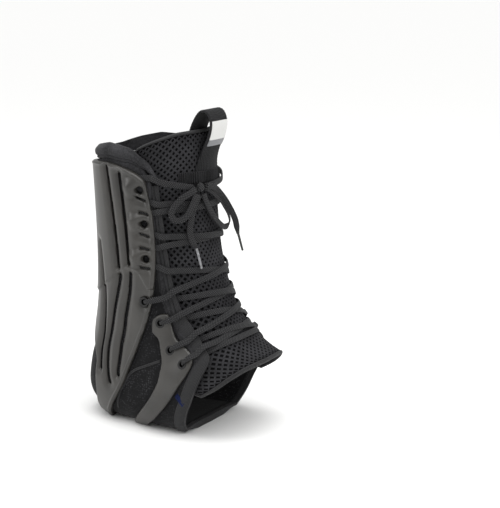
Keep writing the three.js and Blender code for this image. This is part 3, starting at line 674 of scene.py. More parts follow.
def woven_tape(name, dark, light, across, along, shine=0.75, slant=0.0, depth=0.0003):
    """Narrow polyester tape: ribs of weft with warp between, at the real spacing in millimetres."""
    material, tree, shader = new_material(name, Roughness=shine, Specular_IOR_Level=0.12, Sheen_Weight=0.05)
    cloth = add(tree, "ShaderNodeUVMap", uv_map="cloth").outputs["UV"]
    turned = add(tree, "ShaderNodeMapping", {"Rotation": (0, 0, slant)}, {"Vector": cloth}).outputs["Vector"]
    warp, weft = (add(tree, "ShaderNodeTexWave", {"Scale": ONE_RIB / rib, "Distortion": 0.4},
                      {"Vector": turned}, bands_direction=axis)
                  for rib, axis in ((across, "X"), (along, "Y")))
    weave = add(tree, "ShaderNodeMath", links={0: warp.outputs["Fac"], 1: weft.outputs["Fac"]},
                operation="MULTIPLY")
    colour = add(tree, "ShaderNodeValToRGB", links={"Fac": weave.outputs["Value"]},
                 stops=[(0.05, dark), (0.7, light)])
    tree.links.new(colour.outputs["Color"], shader.inputs["Base Color"])
    bump = add(tree, "ShaderNodeBump", {"Strength": 0.8, "Distance": depth},
               {"Height": weave.outputs["Value"]})
    tree.links.new(bump.outputs["Normal"], shader.inputs["Normal"])
    return material


# %% The set of finishes
# Mesh yarn and sewing thread are spun polyester too, so they are made like the knit
SATIN = moulded_plastic("moulded_polyurethane", "#272624", "#33312e")
KNIT = brushed_knit("brushed_knit", "#19191a", "#373739", sheen=0.08, loop=1.7, open_work=0.4)
COLLAR_KNIT = brushed_knit("collar_knit", "#222223", "#3d3d3f", sheen=0.08, loop=0.9, open_work=0.1)
TAPE = woven_tape("folded_binding_tape", "#232324", "#3c3c3d", 0.9, 0.55)
WEBBING = woven_tape("woven_webbing", "#141415", "#2c2c2e", 1.5, 0.8, depth=0.0005)
LACE = woven_tape("braided_lace", "#1e1e1f", "#424243", 1.1, 1.1, slant=math.radians(45), depth=0.0005)
NET = brushed_knit("mesh_yarn", "#1b1b1c", "#323234", sheen=0.05)
# Black foam cloth, made near black so that it also paints the shade inside the tongue net's holes
UNDER = brushed_knit("tongue_foam_cloth", "#070707", "#0d0d0e", sheen=0.0)
THREAD = brushed_knit("polyester_thread", "#262628", "#3a3a3d", sheen=0.05)
print("finishes:", len(bpy.data.materials))

# %% [markdown]
# ## The boot
# On the real brace the boot is stretch knit over thin foam. It shows between the plastic pieces, at the
# heel and beside the binding. The wall is one sheet from one side of the opening round the back to the
# other, with a raised placket rib that runs beside the binding. Panels sewn together would be nearer to
# the real making, but one sheet has no gaps, and the seams are laid on it afterwards.

# %% The boot's lines
# From the opening to the back: share of the way round, section of the rim, share of the roll's height
COLLAR_LINE = [[0, 1.5, 0.45], [0.035, 1.22, 0.55], [0.08, 1.08, 0.7], [0.16, 0.93, 0.9], [0.27, 0.86, 1],
               [0.42, 0.81, 1], [0.6, 0.87, 0.95], [0.8, 0.97, 0.78], [1, 1, 0.72]]
# From the opening to the sole: share of the way round, and section where the boot ends
MOUTH_LINE = [[0, 9.3], [0.04, 9.6], [0.1, 9.85], [0.2, 10.12], [0.32, 10.26], [0.5, 10.44], [0.7, 10.58],
              [0.85, 10.64], [1, 10.66]]
COLLAR_HEIGHT = 10.5
COLLAR_THICKNESS = 4.6
GAP = 0.3
collar_top = share_curve(COLLAR_LINE, 1)
collar_width = share_curve(COLLAR_LINE, 2)
mouth_end = share_curve(MOUTH_LINE, 1)


def boot_place(u, v):
    """u runs from one side of the opening over the back to the other, v from the collar to the mouth."""
    across = 2 * u - 1
    back = 1 - np.abs(across)
    top = collar_top(back)
    edge = opening_phi(top)
    start, _ = slide(top, edge + (180 - edge) * back, COLLAR_HEIGHT * collar_width(back) + GAP, 0)
    s = start + (mouth_end(back) - start) * v
    phi = opening_phi(s) + (180 - opening_phi(s)) * back
    return s, both_sides(across, phi)


boot_place = evenly(boot_place)


def boot_low(f):
    return BOOT_INNER + lift(f["s"], f["phi"])


def line_on_form(line, height, steps=160):
    """A smooth line through places on both sides of the form, as points at a height over it."""
    s, phi = between(line, np.linspace(0, len(line) - 1, steps)).T
    return [form_point(s, sign * phi) + outward(s, sign * phi) * height for sign in (1, -1)]


ROUND_BOOT = 210
PLACKET_WIDTH = 6.5
# Ribs and grooves of the placket: height, distance from the opening's edge, and width
PLACKET = [(0.75, 3.4, 1.5), (-0.5, 1.0, 0.5), (-0.5, 5.8, 0.5)]
UNDER_COLLAR = 1.75
BELOW_COLLAR = 1.8
SOFT_EDGE = 0.8


def from_opening(f):
    """Length from the opening's edge round the boot, in millimetres."""
    return np.minimum(f["u"], 1 - f["u"]) * ROUND_BOOT


def smooth_part(f):
    """Above the shell and beside the opening, the boot is of the same smooth knit as the collar."""
    return (f["s"] < UNDER_COLLAR) | (from_opening(f) < PLACKET_WIDTH)


def ridge(distance, middle, width):
    """A soft rib at a distance: one at its middle, and next to nothing a width away."""
    return np.exp(-((distance - middle) / width) ** 2 * 2)


def boot_high(f):
    side = from_opening(f)
    placket = sum(rise * ridge(side, middle, width) for rise, middle, width in PLACKET)
    height = BOOT_OUTER + lift(f["s"], f["phi"]) + placket * (f["s"] > BELOW_COLLAR)
    return height - rounded(f["edge"], SOFT_EDGE, SOFT_EDGE)


# %% Eyelets and the boot's wall
# Section and angle of each eyelet, from the lowest up
EYELETS = [(8.76, 63.5), (7.37, 63.0), (5.4, 67.5), (4.35, 80.5)]
EYELET_BORE = 6.5


def eyelet_holes(eyelets, middle, radius):
    both = [(s, sign * phi) for s, phi in eyelets for sign in (1, -1)]
    return [(form_point(s, phi) + outward(s, phi) * middle, radius) for s, phi in both]


boot = wall("boot_wall", (190, 170), boot_place, boot_low, boot_high, [KNIT, COLLAR_KNIT],
            holes=eyelet_holes(EYELETS, SHELL_INNER, EYELET_BORE / 2), pick=smooth_part,
            replaces=["boot_shell"], slot="knit")

# %% [markdown]
# ## The collar
# A padded roll finishes the top opening: knit turned over a strip of foam and stitched down low on the
# outside. The foam makes it swell between its edges, so the wall's outer height follows a round profile,
# with a narrow dip where the seam draws it in and soft wrinkles at the back.

# %% Collar
COLLAR_OVER_EDGE = 4.1
COLLAR_SEAM = 0.8
SEAM_DRAWN_IN = 0.9
SWELL_AT = 0.42
SWELL_DROP = 0.42
RIM_SHARE = 0.35
WRINKLE_DEPTH = 0.35
WRINKLE_TURN = 190


def collar_place(u, v):
    across = 2 * u - 1
    back = 1 - np.abs(across)
    top = collar_top(back)
    edge = opening_phi(top)
    s, _ = slide(top, edge + (180 - edge) * back, v * COLLAR_HEIGHT * collar_width(back), 0)
    turn = opening_phi(s) + (180 - opening_phi(s)) * back
    _, phi = slide(s, turn, 0, -COLLAR_OVER_EDGE * np.maximum(0, 1 - back / 0.08))
    return s, both_sides(across, phi)


def collar_swell(v):
    """The roll's thickness as a share: it rises fast from its upper rim, and falls slowly below."""
    rise = RIM_SHARE + (1 - RIM_SHARE) * np.sin(math.pi / 2 * v / SWELL_AT)
    fall = 1 - SWELL_DROP * ((v - SWELL_AT) / (1 - SWELL_AT)) ** 2
    return np.where(v < SWELL_AT, rise, fall)


def collar_full(back):
    return 0.5 + 0.5 * collar_width(back)


def collar_high(f):
    back = 1 - np.abs(2 * f["u"] - 1)
    v = f["v"]
    wrinkle = WRINKLE_DEPTH * np.sin(back * WRINKLE_TURN + 5 * v) * smooth((back - 0.72) / 0.28)
    wide = COLLAR_HEIGHT * collar_width(back)
    seam = SEAM_DRAWN_IN * ridge(v * wide, wide * COLLAR_SEAM, 0.7)
    swell = COLLAR_THICKNESS * collar_swell(v) - seam
    return (BOOT_INNER + lift(f["s"], f["phi"]) + collar_full(back) * swell
            + wrinkle * np.sin(math.pi * v))


collar = wall("padded_collar", (320, 26), collar_place, boot_low, collar_high, COLLAR_KNIT,
              replaces=["collar_roll"], slot="collar")
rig.padded(collar, fill=0.8)
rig.padded(boot, fill=0.4)

# %% [markdown]
# ## The binding
# A folded tape covers the raw edge of the boot, down both sides of the opening and round its mouth. It
# is narrow beside the shell and broader round the mouth. It is laid on as its own strip that over-wraps
# the boot's edge, so a real groove separates the two.

# %% Binding
BINDING_WIDTH = 3.8
OVER_NARROW = 0.6
OVER_BROAD = 5.2
TAPE_CROWN = 1.6
GROOVE_DEPTH = 1.1
FOLD_RISE = 2.0
BINDING_STEPS = 900
SOFTEN = 9


def binding_line(steps=700):
    """Places along the boot's edge: down one side, round the mouth and up the other."""
    down = boot_place(np.zeros(steps), np.linspace(0, 1, steps))
    round_mouth = boot_place(np.linspace(0, 1, steps)[1:-1], np.ones(steps - 2))
    up = boot_place(np.ones(steps), np.linspace(1, 0, steps))
    s, phi = (np.concatenate([down[i], round_mouth[i], up[i]]) for i in (0, 1))
    points = form_point(s, phi)
    length = run_length(points)
    even = np.linspace(0, length[-1], BINDING_STEPS)
    return np.interp(even, length, s), np.interp(even, length, phi), length[-1]


edge_s, edge_phi, edge_length = binding_line()
inner = slice(SOFTEN // 2, -(SOFTEN // 2))
for values in (edge_s, edge_phi):
    values[inner] = np.convolve(values, np.ones(SOFTEN) / SOFTEN, mode="valid")


def on_edge(v):
    t = np.linspace(0, 1, BINDING_STEPS)
    return np.interp(v, t, edge_s), np.interp(v, t, edge_phi)


def binding_place(u, v, part=0.002):
    """u runs from over the boot out past its edge, v along the edge."""
    s, phi = on_edge(v)
    ahead, behind = on_edge(v + part), on_edge(v - part)
    by_section, by_degree = slopes(s, phi)
    down = (ahead[0] - behind[0]) * np.linalg.norm(by_section, axis=-1)
    turn = (ahead[1] - behind[1]) * np.linalg.norm(by_degree, axis=-1)
    length = np.hypot(down, turn)
    over = OVER_NARROW + (OVER_BROAD - OVER_NARROW) * smooth((s - 4.2) / 2.5)
    reach = -over + (over + GAP + BINDING_WIDTH) * u
    return slide(s, phi, turn / length * reach, -down / length * reach)


def under_sole(phi):
    """One under the sole, where the tape lies flat on the floor, and nothing at the sides."""
    return smooth((from_front(phi) - 138) / 22)


def binding_low(f):
    over_boot = smooth((0.45 - f["u"]) / 0.1)
    return BOOT_INNER + lift(f["s"], f["phi"]) + over_boot * FOLD_RISE


def binding_high(f):
    round_over = np.sin(math.pi * np.clip(f["u"], 0, 1)) ** 0.5
    groove = GROOVE_DEPTH * ridge(f["u"], 0.47, 0.09) * smooth((6.5 - f["s"]) / 1.5)
    height = BOOT_OUTER - 0.7 + lift(f["s"], f["phi"]) + TAPE_CROWN * round_over - groove
    return height + (SOLE_RISE - height) * under_sole(f["phi"]) * (f["u"] > 0.1)


wall("folded_binding", (20, 520), binding_place, binding_low, binding_high, TAPE, ends=False,
     replaces=["edge_binding"], slot="binding")
print("binding runs", round(edge_length), "mm")

# %% [markdown]
# ## The moulded shell
# Each side of the boot has a wing of moulded plastic, and the two are joined under its heel. Long slots
# let it flex; the ribs between them are softly crowned, a thin bead follows the front edge, and three
# hooks stand out near it. As a height over the form, all of that is a sum of small shapes: crown, bead,
# step line and bosses.

# %% The shell's lines
# Front edge and rear edge of the wing, each as section and angle, from its top to the middle of the sole
WING = [[1.56, 71.5, 1.26, 168], [2.26, 67, 2.2, 168], [3.02, 67.5, 3.0, 167], [3.95, 71.5, 3.9, 163],
        [5.0, 78, 4.9, 147], [6.0, 84.5, 5.8, 130], [6.8, 93, 6.5, 127], [7.45, 105, 7.1, 130],
        [7.85, 120, 7.45, 138], [8.1, 144, 7.66, 150], [8.25, 180, 7.62, 180]]
WING_CROWN = 0.22
ARCH_CROWN = 0.15
# The same for the strap, from beside its upper eyelet to the middle of the sole
ARCH = [[5.14, 61.5, 5.14, 74], [5.35, 60.5, 5.35, 74.5], [5.95, 59, 5.8, 73.5], [6.75, 57.5, 6.4, 69],
        [7.4, 55.5, 7.2, 69.5], [8.3, 54.5, 7.9, 74], [9.05, 58.5, 8.45, 84], [9.45, 69, 8.75, 96],
        [9.62, 87, 8.92, 108], [9.7, 106, 8.95, 121], [9.58, 124, 8.86, 138], [9.35, 141, 8.8, 156],
        [9.3, 180, 8.75, 180]]
SLOTS = [
    [[1.3, 115.5], [1.7, 113.5], [2.2, 111], [2.75, 109], [3.28, 108]],
    [[3.5, 107.5], [4.3, 114], [5.1, 116], [6.0, 115.5], [6.7, 115], [7.2, 116.5]],
    [[1.42, 98.5], [1.8, 97], [2.3, 95.5], [2.8, 95], [3.2, 95]],
    [[3.46, 94.5], [3.9, 96.5], [4.7, 101.5], [5.6, 102.5], [6.5, 104], [7.1, 107.5]],
    [[2.8, 136], [3.4, 132], [4.0, 129], [4.7, 126.5], [5.5, 124], [6.5, 122]],
]
SLOT_WIDTH = 2.9
# Section and angle of each hook, and the sections where the lace goes in below and comes out above
HOOKS = [(3.08, 82, 3.31, 2.83), (2.34, 81, 2.56, 2.12), (1.7, 83, 1.93, 1.48)]
HOOK_RADIUS = 8.2
HOOK_RISE = 3.0
HOOK_BORE = 5.4
HOOK_SLITS = [
    [[2.16, 71], [2.13, 75], [2.12, 79]], [[2.86, 73], [2.83, 77], [2.82, 81]],
    [[1.89, 73], [1.86, 77], [1.83, 81]], [[2.59, 72], [2.55, 76], [2.53, 80]],
    [[3.34, 74], [3.31, 78], [3.28, 82]],
]
SLIT_WIDTH = 1.25
STEP_HEIGHT = 1.0
STEP_BEAD = 0.3
RIB_HEIGHT = 1.5
RIB_REACH = 5.5
BEAD_HEIGHT = 0.5
# Width and depth of the rounding at the outer edges, and at the slots and holes
OUTER_ROUND = (1.5, 1.3)
SLOT_ROUND = (0.9, 0.7)
STEP_LINE = [[3.95, 76], [3.42, 84], [3.31, 94], [3.37, 105], [3.60, 119], [3.9, 140]]


def strip_place(rows, crown, skew=0.65, blunt=1.0):
    """A strip from one side under the heel to the other, with its ends crowned by part of a section."""
    rows = np.array(rows, float)

    def place(u, v):
        across = 2 * v - 1
        row = (1 - np.abs(across)) * (len(rows) - 1)
        front_s, front_phi, rear_s, rear_phi = between(rows, row).T
        arc = np.maximum(0, np.sin(math.pi * np.clip(u, 0, 1) ** skew)) ** blunt
        lean = crown * arc * np.maximum(0, 1 - row)
        phi = front_phi + (rear_phi - front_phi) * u
        return front_s + (rear_s - front_s) * u - lean, both_sides(across, phi)

    return place


# %% Heights of the shell
def step_up(f):
    """The upper layer of the moulding ends at a curved line across the wing, a small step up from below."""
    turn = from_front(f["phi"])
    line = between(STEP_LINE, np.linspace(0, len(STEP_LINE) - 1, 200))
    order = np.argsort(line[:, 1])
    border = np.interp(turn, line[order, 1], line[order, 0])
    bead = STEP_BEAD * np.exp(-((border - f["s"]) / 0.035) ** 2)
    return STEP_HEIGHT * smooth((border - f["s"]) / 0.02 + 0.5) + bead


def hook_facts(f, spread):
    """Distance to the nearest hook's boss, which lies behind its hole."""
    middles = [form_point(s - 0.05, sign * (phi + 3)) + outward(s, sign * phi) * SHELL_INNER
               for s, phi, *_ in HOOKS for sign in (1, -1)]
    return distances(finder(np.vstack(middles)), f["at"]) / spread


def shell_low(f):
    return SHELL_INNER + lift(f["s"], f["phi"])


def shell_high(f):
    ribs = RIB_HEIGHT * np.sin(np.clip(f["cut"] / RIB_REACH, 0, 1) * math.pi / 2)
    far = np.minimum(hook_facts(f, HOOK_RADIUS), 1)
    boss = HOOK_RISE * (1 - far ** 2) ** 2
    near_bead = np.maximum(smooth((0.35 - f["u"]) / 0.1), smooth((1.9 - f["s"]) / 0.2))
    bead = BEAD_HEIGHT * ridge(f["edge"], 1.7, 1.1) * near_bead
    height = SHELL_OUTER - 1.4 + lift(f["s"], f["phi"]) + ribs + step_up(f) + boss + bead
    return height - rounded(f["edge"], *OUTER_ROUND) - rounded(f["cut"], *SLOT_ROUND)


slot_holes = [(line, SLOT_WIDTH / 2) for places in SLOTS for line in line_on_form(places, SHELL_INNER)]
slot_holes += [(line, SLIT_WIDTH / 2) for places in HOOK_SLITS for line in line_on_form(places, SHELL_INNER)]
bore_holes = eyelet_holes([(s, phi - 5.5) for s, phi, *_ in HOOKS], SHELL_INNER, HOOK_BORE / 2)
top_eyelet = eyelet_holes(EYELETS[3:], SHELL_INNER, EYELET_BORE / 2)
wall("moulded_wings", (84, 470), evenly(strip_place(WING, WING_CROWN)), shell_low, shell_high, SATIN,
     holes=slot_holes + bore_holes + top_eyelet, replaces=["moulded_shell"], slot="moulding")


# %% Arch strap
STRAP_CROWN = 0.5
STRAP_REACH = 7
STRAP_ROUND = (1.4, 1.2)


def arch_high(f):
    crown = STRAP_CROWN * np.sin(np.clip(f["edge"] / STRAP_REACH, 0, 1) * math.pi / 2)
    height = SHELL_OUTER - STRAP_CROWN + lift(f["s"], f["phi"]) + crown
    return height - rounded(f["edge"], *STRAP_ROUND)


wall("arch_band", (30, 420), evenly(strip_place(ARCH, ARCH_CROWN, skew=1, blunt=0.6)), shell_low,
     arch_high, SATIN, holes=eyelet_holes(EYELETS[:3], SHELL_INNER, EYELET_BORE / 2),
     replaces=["arch_strap"], slot="moulding")

# %% [markdown]
# ## The tongue
# The tongue is thin foam under a knitted mesh with staggered long holes. The holes are large enough to
# see, so they are real: a lattice of diamonds, each face inset and its middle deleted, then given a
# thickness. Under it lies the black foam cloth, made near black so that it also paints the shade inside the net's
# holes.

# %% Tongue pad
TONGUE_SPAN = 84
RIM_RISE = 1.2
RIM_WIDTH = 2.6
# From the middle to the side: the share of the way, and the sections of its top and its tip
TONGUE_LINE = [[0, 0.64, 12.05], [0.25, 0.64, 11.98], [0.5, 0.66, 11.72], [0.75, 0.78, 11.28],
               [0.9, 0.87, 10.95], [1, 0.96, 10.7]]
tongue_top = share_curve(TONGUE_LINE, 1, soft=0.07)
tongue_tip = share_curve(TONGUE_LINE, 2, soft=0.07)


def tongue_place(u, v):
    across = 2 * u - 1
    aside = np.abs(across)
    return tongue_top(aside) + (tongue_tip(aside) - tongue_top(aside)) * v, across * TONGUE_SPAN


tongue_place = evenly(tongue_place)


def tongue_low(f):
    return np.zeros(len(f["s"]))


def tongue_high(f):
    rim = RIM_RISE * ridge(f["edge"], 1.2, 1.7)
    return TONGUE_WALL - 0.75 + rim - rounded(f["edge"], SOFT_EDGE, SOFT_EDGE)


def tongue_rim(f):
    return f["edge"] < RIM_WIDTH


tongue = wall("tongue_pad", (90, 170), tongue_place, tongue_low, tongue_high, [UNDER, TAPE],
              pick=tongue_rim, replaces=["tongue"], slot="mesh")
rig.padded(tongue, fill=0.5)

# %% Tongue mesh
HOLE_ACROSS = 3.7
HOLE_ROW = 2.8
STRAND = 0.76
NET_HALF = 48.0
NET_LENGTH = 212.0
NET_THICKNESS = 0.6
SIDE_MARGIN, END_MARGIN = 1.5, 1.8


def tongue_net():
    bm = bmesh.new()
    cells = int(2 * NET_HALF / HOLE_ACROSS + NET_LENGTH / (2 * HOLE_ROW))
    bmesh.ops.create_grid(bm, x_segments=cells, y_segments=cells, size=cells / 2)
    bmesh.ops.rotate(bm, cent=(0, 0, 0), matrix=Matrix.Rotation(math.radians(45), 3, "Z"), verts=bm.verts)
    bmesh.ops.scale(bm, vec=(HOLE_ACROSS / math.sqrt(2), HOLE_ROW * 2 / math.sqrt(2), 1), verts=bm.verts)
    outside = [v for v in bm.verts if abs(v.co.x) > NET_HALF - SIDE_MARGIN
               or abs(v.co.y) > NET_LENGTH / 2 - END_MARGIN]
    bmesh.ops.delete(bm, geom=outside, context="VERTS")
    flat_place = np.array([v.co[:2] for v in bm.verts])
    s, phi = tongue_place(flat_place[:, 0] / NET_HALF / 2 + 0.5, flat_place[:, 1] / NET_LENGTH + 0.5)
    points = skin(s, phi, TONGUE_WALL - 0.1)
    for v, point in zip(bm.verts, points):
        v.co = point
    bm.normal_update()
    faces = bm.faces[:]
    bmesh.ops.inset_individual(bm, faces=faces, thickness=STRAND, use_even_offset=True)
    bmesh.ops.delete(bm, geom=faces, context="FACES")
    bmesh.ops.recalc_face_normals(bm, faces=bm.faces)
    if sum(f.normal.z * f.calc_area() for f in bm.faces) < 0:
        bmesh.ops.reverse_faces(bm, faces=bm.faces)
    bm.normal_update()
    bmesh.ops.solidify(bm, geom=bm.faces[:], thickness=NET_THICKNESS)
    bmesh.ops.recalc_face_normals(bm, faces=bm.faces)
    finished(bm, "tongue_mesh", NET, slot="mesh", smooth_angle=50)


tongue_net()

# %% [markdown]
# ## The lace
# One flat braided lace runs through every eyelet and behind every hook. Its route is worked out from the
# eyelets: under the edge, up through the hole, over the edge and across to the next. A flat strip is
# carried along it with its wide side on the surface, folding over where it turns.

# %% Route of the lace
HALF_LACE = LACE_THICKNESS / 2
LACE_SEAT = 0.6
LACE_ON_TONGUE = TONGUE_WALL + LACE_SEAT + HALF_LACE
LACE_CROSSING = LACE_ON_TONGUE + LACE_THICKNESS + LACE_SEAT
LACE_ON_BOOT = BOOT_OUTER + LACE_LIFT + LACE_SEAT + HALF_LACE
LACE_ON_BINDING = LACE_ON_BOOT + 0.8
LACE_ON_COLLAR = BOOT_INNER + COLLAR_THICKNESS + LACE_LIFT + LACE_SEAT + HALF_LACE
LACE_ON_SHELL = SHELL_OUTER + LACE_LIFT + LACE_SEAT + HALF_LACE
LOWEST_ROW = 8.98
TO_KNOT_NEAR = [(1.49, 64, LACE_ON_COLLAR), (1.56, 56, LACE_ON_COLLAR), (1.63, 41, 8.4), (1.675, 30, 8.2)]
TO_KNOT_FAR = [(1.49, -64, LACE_ON_COLLAR), (1.55, -56, LACE_ON_COLLAR), (1.6, -35, 7.4), (1.64, -14, 7.2),
               (1.67, 6, 7.1), (1.675, 15, 7.0)]


def mix(a, b, t):
    """The value that lies between two others at a share of the way."""
    return a + (b - a) * t


def crossing(start, end, raised):
    """Across the tongue, raised where it passes over the other half."""
    rows = [(0.28, False), (0.44, True), (0.56, True), (0.72, False)]
    return [(mix(start[0], end[0], t), mix(start[1], end[1], t),
             LACE_CROSSING if raised and high else LACE_ON_TONGUE) for t, high in rows]


def beside_edge(hole, other, side, spots):
    """Places beside the opening's edge on the way between a hole and the one across."""
    edge = float(opening_phi(hole[0])[0])
    whole = abs(hole[1]) + abs(other[1])
    return [(mix(hole[0], other[0], (abs(hole[1]) - edge - away) / whole), side * (edge + away), height)
            for away, height in spots]


def over_edge(hole, other, side):
    """Over the opening's edge and down onto the tongue."""
    return beside_edge(hole, other, side, [(-5, LACE_ON_BINDING + 0.4), (-13, LACE_ON_TONGUE + 1.5)])


def through_eyelet(s, phi, side):
    """Up through an eyelet from under the boot, and back over its rim."""
    rows = [(-2, 0), (-0.42, 0.04), (0.15, 0.5), (-0.42, 0.96), (-2, 1)]
    spots = []
    for turn, rise in rows:
        _, turned = slide(s, phi, 0, turn * EYELET_BORE / 2)
        spots.append((s, side * float(turned[0]), mix(LACE_ON_TONGUE, LACE_ON_SHELL, rise)))
    return spots


def hook_route(s, phi, lower, upper):
    """Under the shell's edge, round behind the hook and out again above it."""
    turns = [(0, -15), (0.06, -1), (0.4, 5), (1, 7)]
    rise, fall = ([(mix(end, s, t), phi + beyond, LACE_ON_BOOT) for t, beyond in turns]
                  for end in (lower, upper))
    return rise + fall[::-1][1:]


def lace_half(sign):
    """Half of the lace, from the middle of its lowest row up to its last hook."""
    raised = sign < 0
    route = [(LOWEST_ROW, 0, LACE_ON_TONGUE), (LOWEST_ROW, sign * 22, LACE_ON_TONGUE)]
    side, start = sign, (LOWEST_ROW, 0)
    for i, (s, phi) in enumerate(EYELETS):
        hole = (s, side * phi)
        if i > 0:
            route += crossing(start, hole, raised)
        route += beside_edge(hole, start, side, [(-6, LACE_ON_TONGUE), (3, LACE_ON_TONGUE)])
        route += through_eyelet(s, phi, side)
        after = EYELETS[i + 1] if i < 3 else (HOOKS[0][2], HOOKS[0][1])
        route.append((s, side * (float(opening_phi(s)[0]) + 2), LACE_ON_BINDING + 0.5))
        route += over_edge(hole, (after[0], -side * after[1]), side)
        start, side = hole, -side
    for i, (s, phi, lower, upper) in enumerate(HOOKS):
        route += crossing(start, (lower, side * phi), raised)
        route += over_edge((lower, side * phi), start, side)[::-1]
        route += [(a, side * b, c) for a, b, c in hook_route(s, phi, lower, upper)]
        start = (upper, side * phi)
        if i < 2:
            after = HOOKS[i + 1]
            route += over_edge(start, (after[2], -side * after[1]), side)
            side = -side
    return route, side


# %% Where the lace bunches up in an eyelet
eyelet_axes = finder(np.vstack([points for points, _ in eyelet_holes(EYELETS, SHELL_OUTER, 1)]))


def pinch(points):
    """Share of the lace's width that is left near an eyelet, where the flat lace is drawn together."""
    return 0.55 + 0.45 * smooth((distances(eyelet_axes, points) - 2) / 7)


# %% The strip along a route
def sample(route, step):
    """Points, sections and angles along a curve through the route's places, a step apart."""
    route = np.array(route, float)
    fine = between(route, np.linspace(0, len(route) - 1, 60 * len(route)))
    points = skin(fine[:, 0], fine[:, 1], fine[:, 2])
    length = run_length(points)
    even = np.linspace(0, length[-1], max(8, int(length[-1] / step)))
    places = np.stack([np.interp(even, length, fine[:, k]) for k in range(3)], -1)
    return places, length[-1]


def lace_frames(route, step):
    """Stations of a flat strip: its middle, its side and its upward direction, kept smooth through turns."""
    places, length = sample(route, step)
    points = skin(places[:, 0], places[:, 1], places[:, 2])
    heading = unit(np.gradient(points, axis=0))
    over = outward(places[:, 0], places[:, 1])
    across = np.cross(over, heading)
    flat_share = np.linalg.norm(across, axis=-1)
    side = unit(across[0])
    sides = []
    for i in range(len(points)):
        turn = across[i] if across[i] @ side >= 0 else -across[i]
        side = side * (1 - flat_share[i]) + turn * flat_share[i]
        side = side - heading[i] * (side @ heading[i])
        side = side / np.linalg.norm(side)
        sides.append(side)
    sides = np.array(sides)
    return points, sides, np.cross(heading, sides), length


BRAID_TURN = 2.9
BRAID_SLANT = 5.0
BRAID_RELIEF = 0.12
TAPER_START = -8


def strip_along(name, route, step, width, thickness, material, around=16, relief=0.0, twist=0.0,
                taper=0.0, **finish):
    """A soft flat strip with rounded sides, carried along a route and closed at both ends. It turns over
    by the twist within the first half of its length, and loses the taper of its width at its end."""
    points, sides, ups, length = lace_frames(route, step)
    rows = len(points) - 1
    lean = (twist * smooth(np.linspace(0, 2, rows + 1)))[:, None]
    sides, ups = sides * np.cos(lean) + ups * np.sin(lean), ups * np.cos(lean) - sides * np.sin(lean)
    bm = bmesh.new()
    bmesh.ops.create_grid(bm, x_segments=around, y_segments=rows, size=0.5)
    shares = np.array([v.co[:2] for v in bm.verts]) + 0.5
    turn = shares[:, 0] * 2 * math.pi
    row = np.rint(shares[:, 1] * rows).astype(int)
    c, q = np.cos(turn), np.sin(turn)
    full = (np.abs(c) ** 3 + np.abs(q) ** 3) ** (-1 / 3)
    end = smooth(np.linspace(TAPER_START, 1, rows + 1))
    narrow = (pinch(points) * (1 - taper * end))[row]
    braid = 1 + relief * np.sin(row * step * BRAID_TURN + np.abs(c) * BRAID_SLANT) * (np.abs(q) > 0.3)
    place = points[row] + sides[row] * (c * full * width / 2 * narrow)[:, None]
    place += ups[row] * (q * full * thickness / 2 * braid)[:, None]
    sheet_uv = bm.loops.layers.uv.new("cloth")
    number = {v: i for i, v in enumerate(bm.verts)}
    for face in bm.faces:
        for loop in face.loops:
            i = number[loop.vert]
            loop[sheet_uv].uv = (c[i] * width / 2, row[i] * step)
    for v, i in number.items():
        v.co = place[i]
    bmesh.ops.remove_doubles(bm, verts=bm.verts, dist=1e-4)
    bmesh.ops.holes_fill(bm, edges=[e for e in bm.edges if e.is_boundary], sides=0)
    bmesh.ops.recalc_face_normals(bm, faces=bm.faces)
    return finished(bm, name, material, **finish), points, length


# %% The laced stretch
outer_half, outer_side = lace_half(1)
inner_half, inner_side = lace_half(-1)
to_knot = {1: TO_KNOT_NEAR, -1: TO_KNOT_FAR}
lace_route = (outer_half + to_knot[outer_side])[::-1] + inner_half[1:] + to_knot[inner_side]
*_, laced_length = strip_along("laced_stretch", lace_route, 0.9, LACE_WIDTH, LACE_THICKNESS, LACE,
                               relief=BRAID_RELIEF, replaces=["lace"], slot="lace")
print("laced stretch is", round(laced_length), "mm long")

# %% [markdown]
# ## The bow
# The lace ends in a bow: a knot, two loops and two free ends with wrapped tips. Loops and ends are free
# cords of the same flat lace, so they repeat the routes of the solid parts and are declared as cords with
# their real lengths.

# %% Loops and ends
LEFT_LOOP = [[1.70, 28, 9.6], [1.76, 34, 10.2], [1.86, 42, 10.4], [2.0, 48, 10.2], [2.14, 51, 10.0],
             [2.25, 49, 9.9], [2.27, 44, 9.9], [2.2, 38.5, 10.0], [2.05, 34, 10.2], [1.9, 30.5, 10.2],
             [1.79, 27.5, 9.8]]
RIGHT_LOOP = [[1.70, 15.5, 8.6], [1.76, 9, 8.6], [1.85, 2, 8.6], [1.98, -7, 9.2], [2.13, -14, 9.6],
              [2.3, -20, 10.6], [2.47, -23, 11.0], [2.57, -22, 9.4], [2.58, -16, 7.8], [2.48, -6, 7.6],
              [2.3, 5, 7.7], [2.1, 12, 7.7], [1.92, 16.5, 8.0], [1.81, 18.5, 8.2]]
RIGHT_END = [[1.66, 15.5, 10.2], [1.70, 8, 10.15], [1.79, 0, 10.15], [1.95, -8, 11.4], [2.12, -14, 12.6],
             [2.3, -19, 14.0], [2.46, -22, 15.2], [2.6, -23.5, 15.6], [2.8, -24.2, 16.05]]
LEFT_END = [[1.82, 23.5, 7.6], [1.93, 27, 7.6], [2.07, 30.5, 7.5], [2.25, 33, 7.5], [2.43, 35, 7.5],
            [2.6, 35.5, 7.5], [2.75, 34, 7.5], [2.9, 31.5, 7.5]]


def bow_cord(name, route, node, **turns):
    piece, points, length = strip_along(name, route, 0.8, LACE_WIDTH, LACE_THICKNESS, LACE,
                                        relief=BRAID_RELIEF, replaces=[node], slot="lace", **turns)
    print(name, "is", round(length, 1), "mm long")
    return piece, [tuple(p) for p in to_metres(points)], length


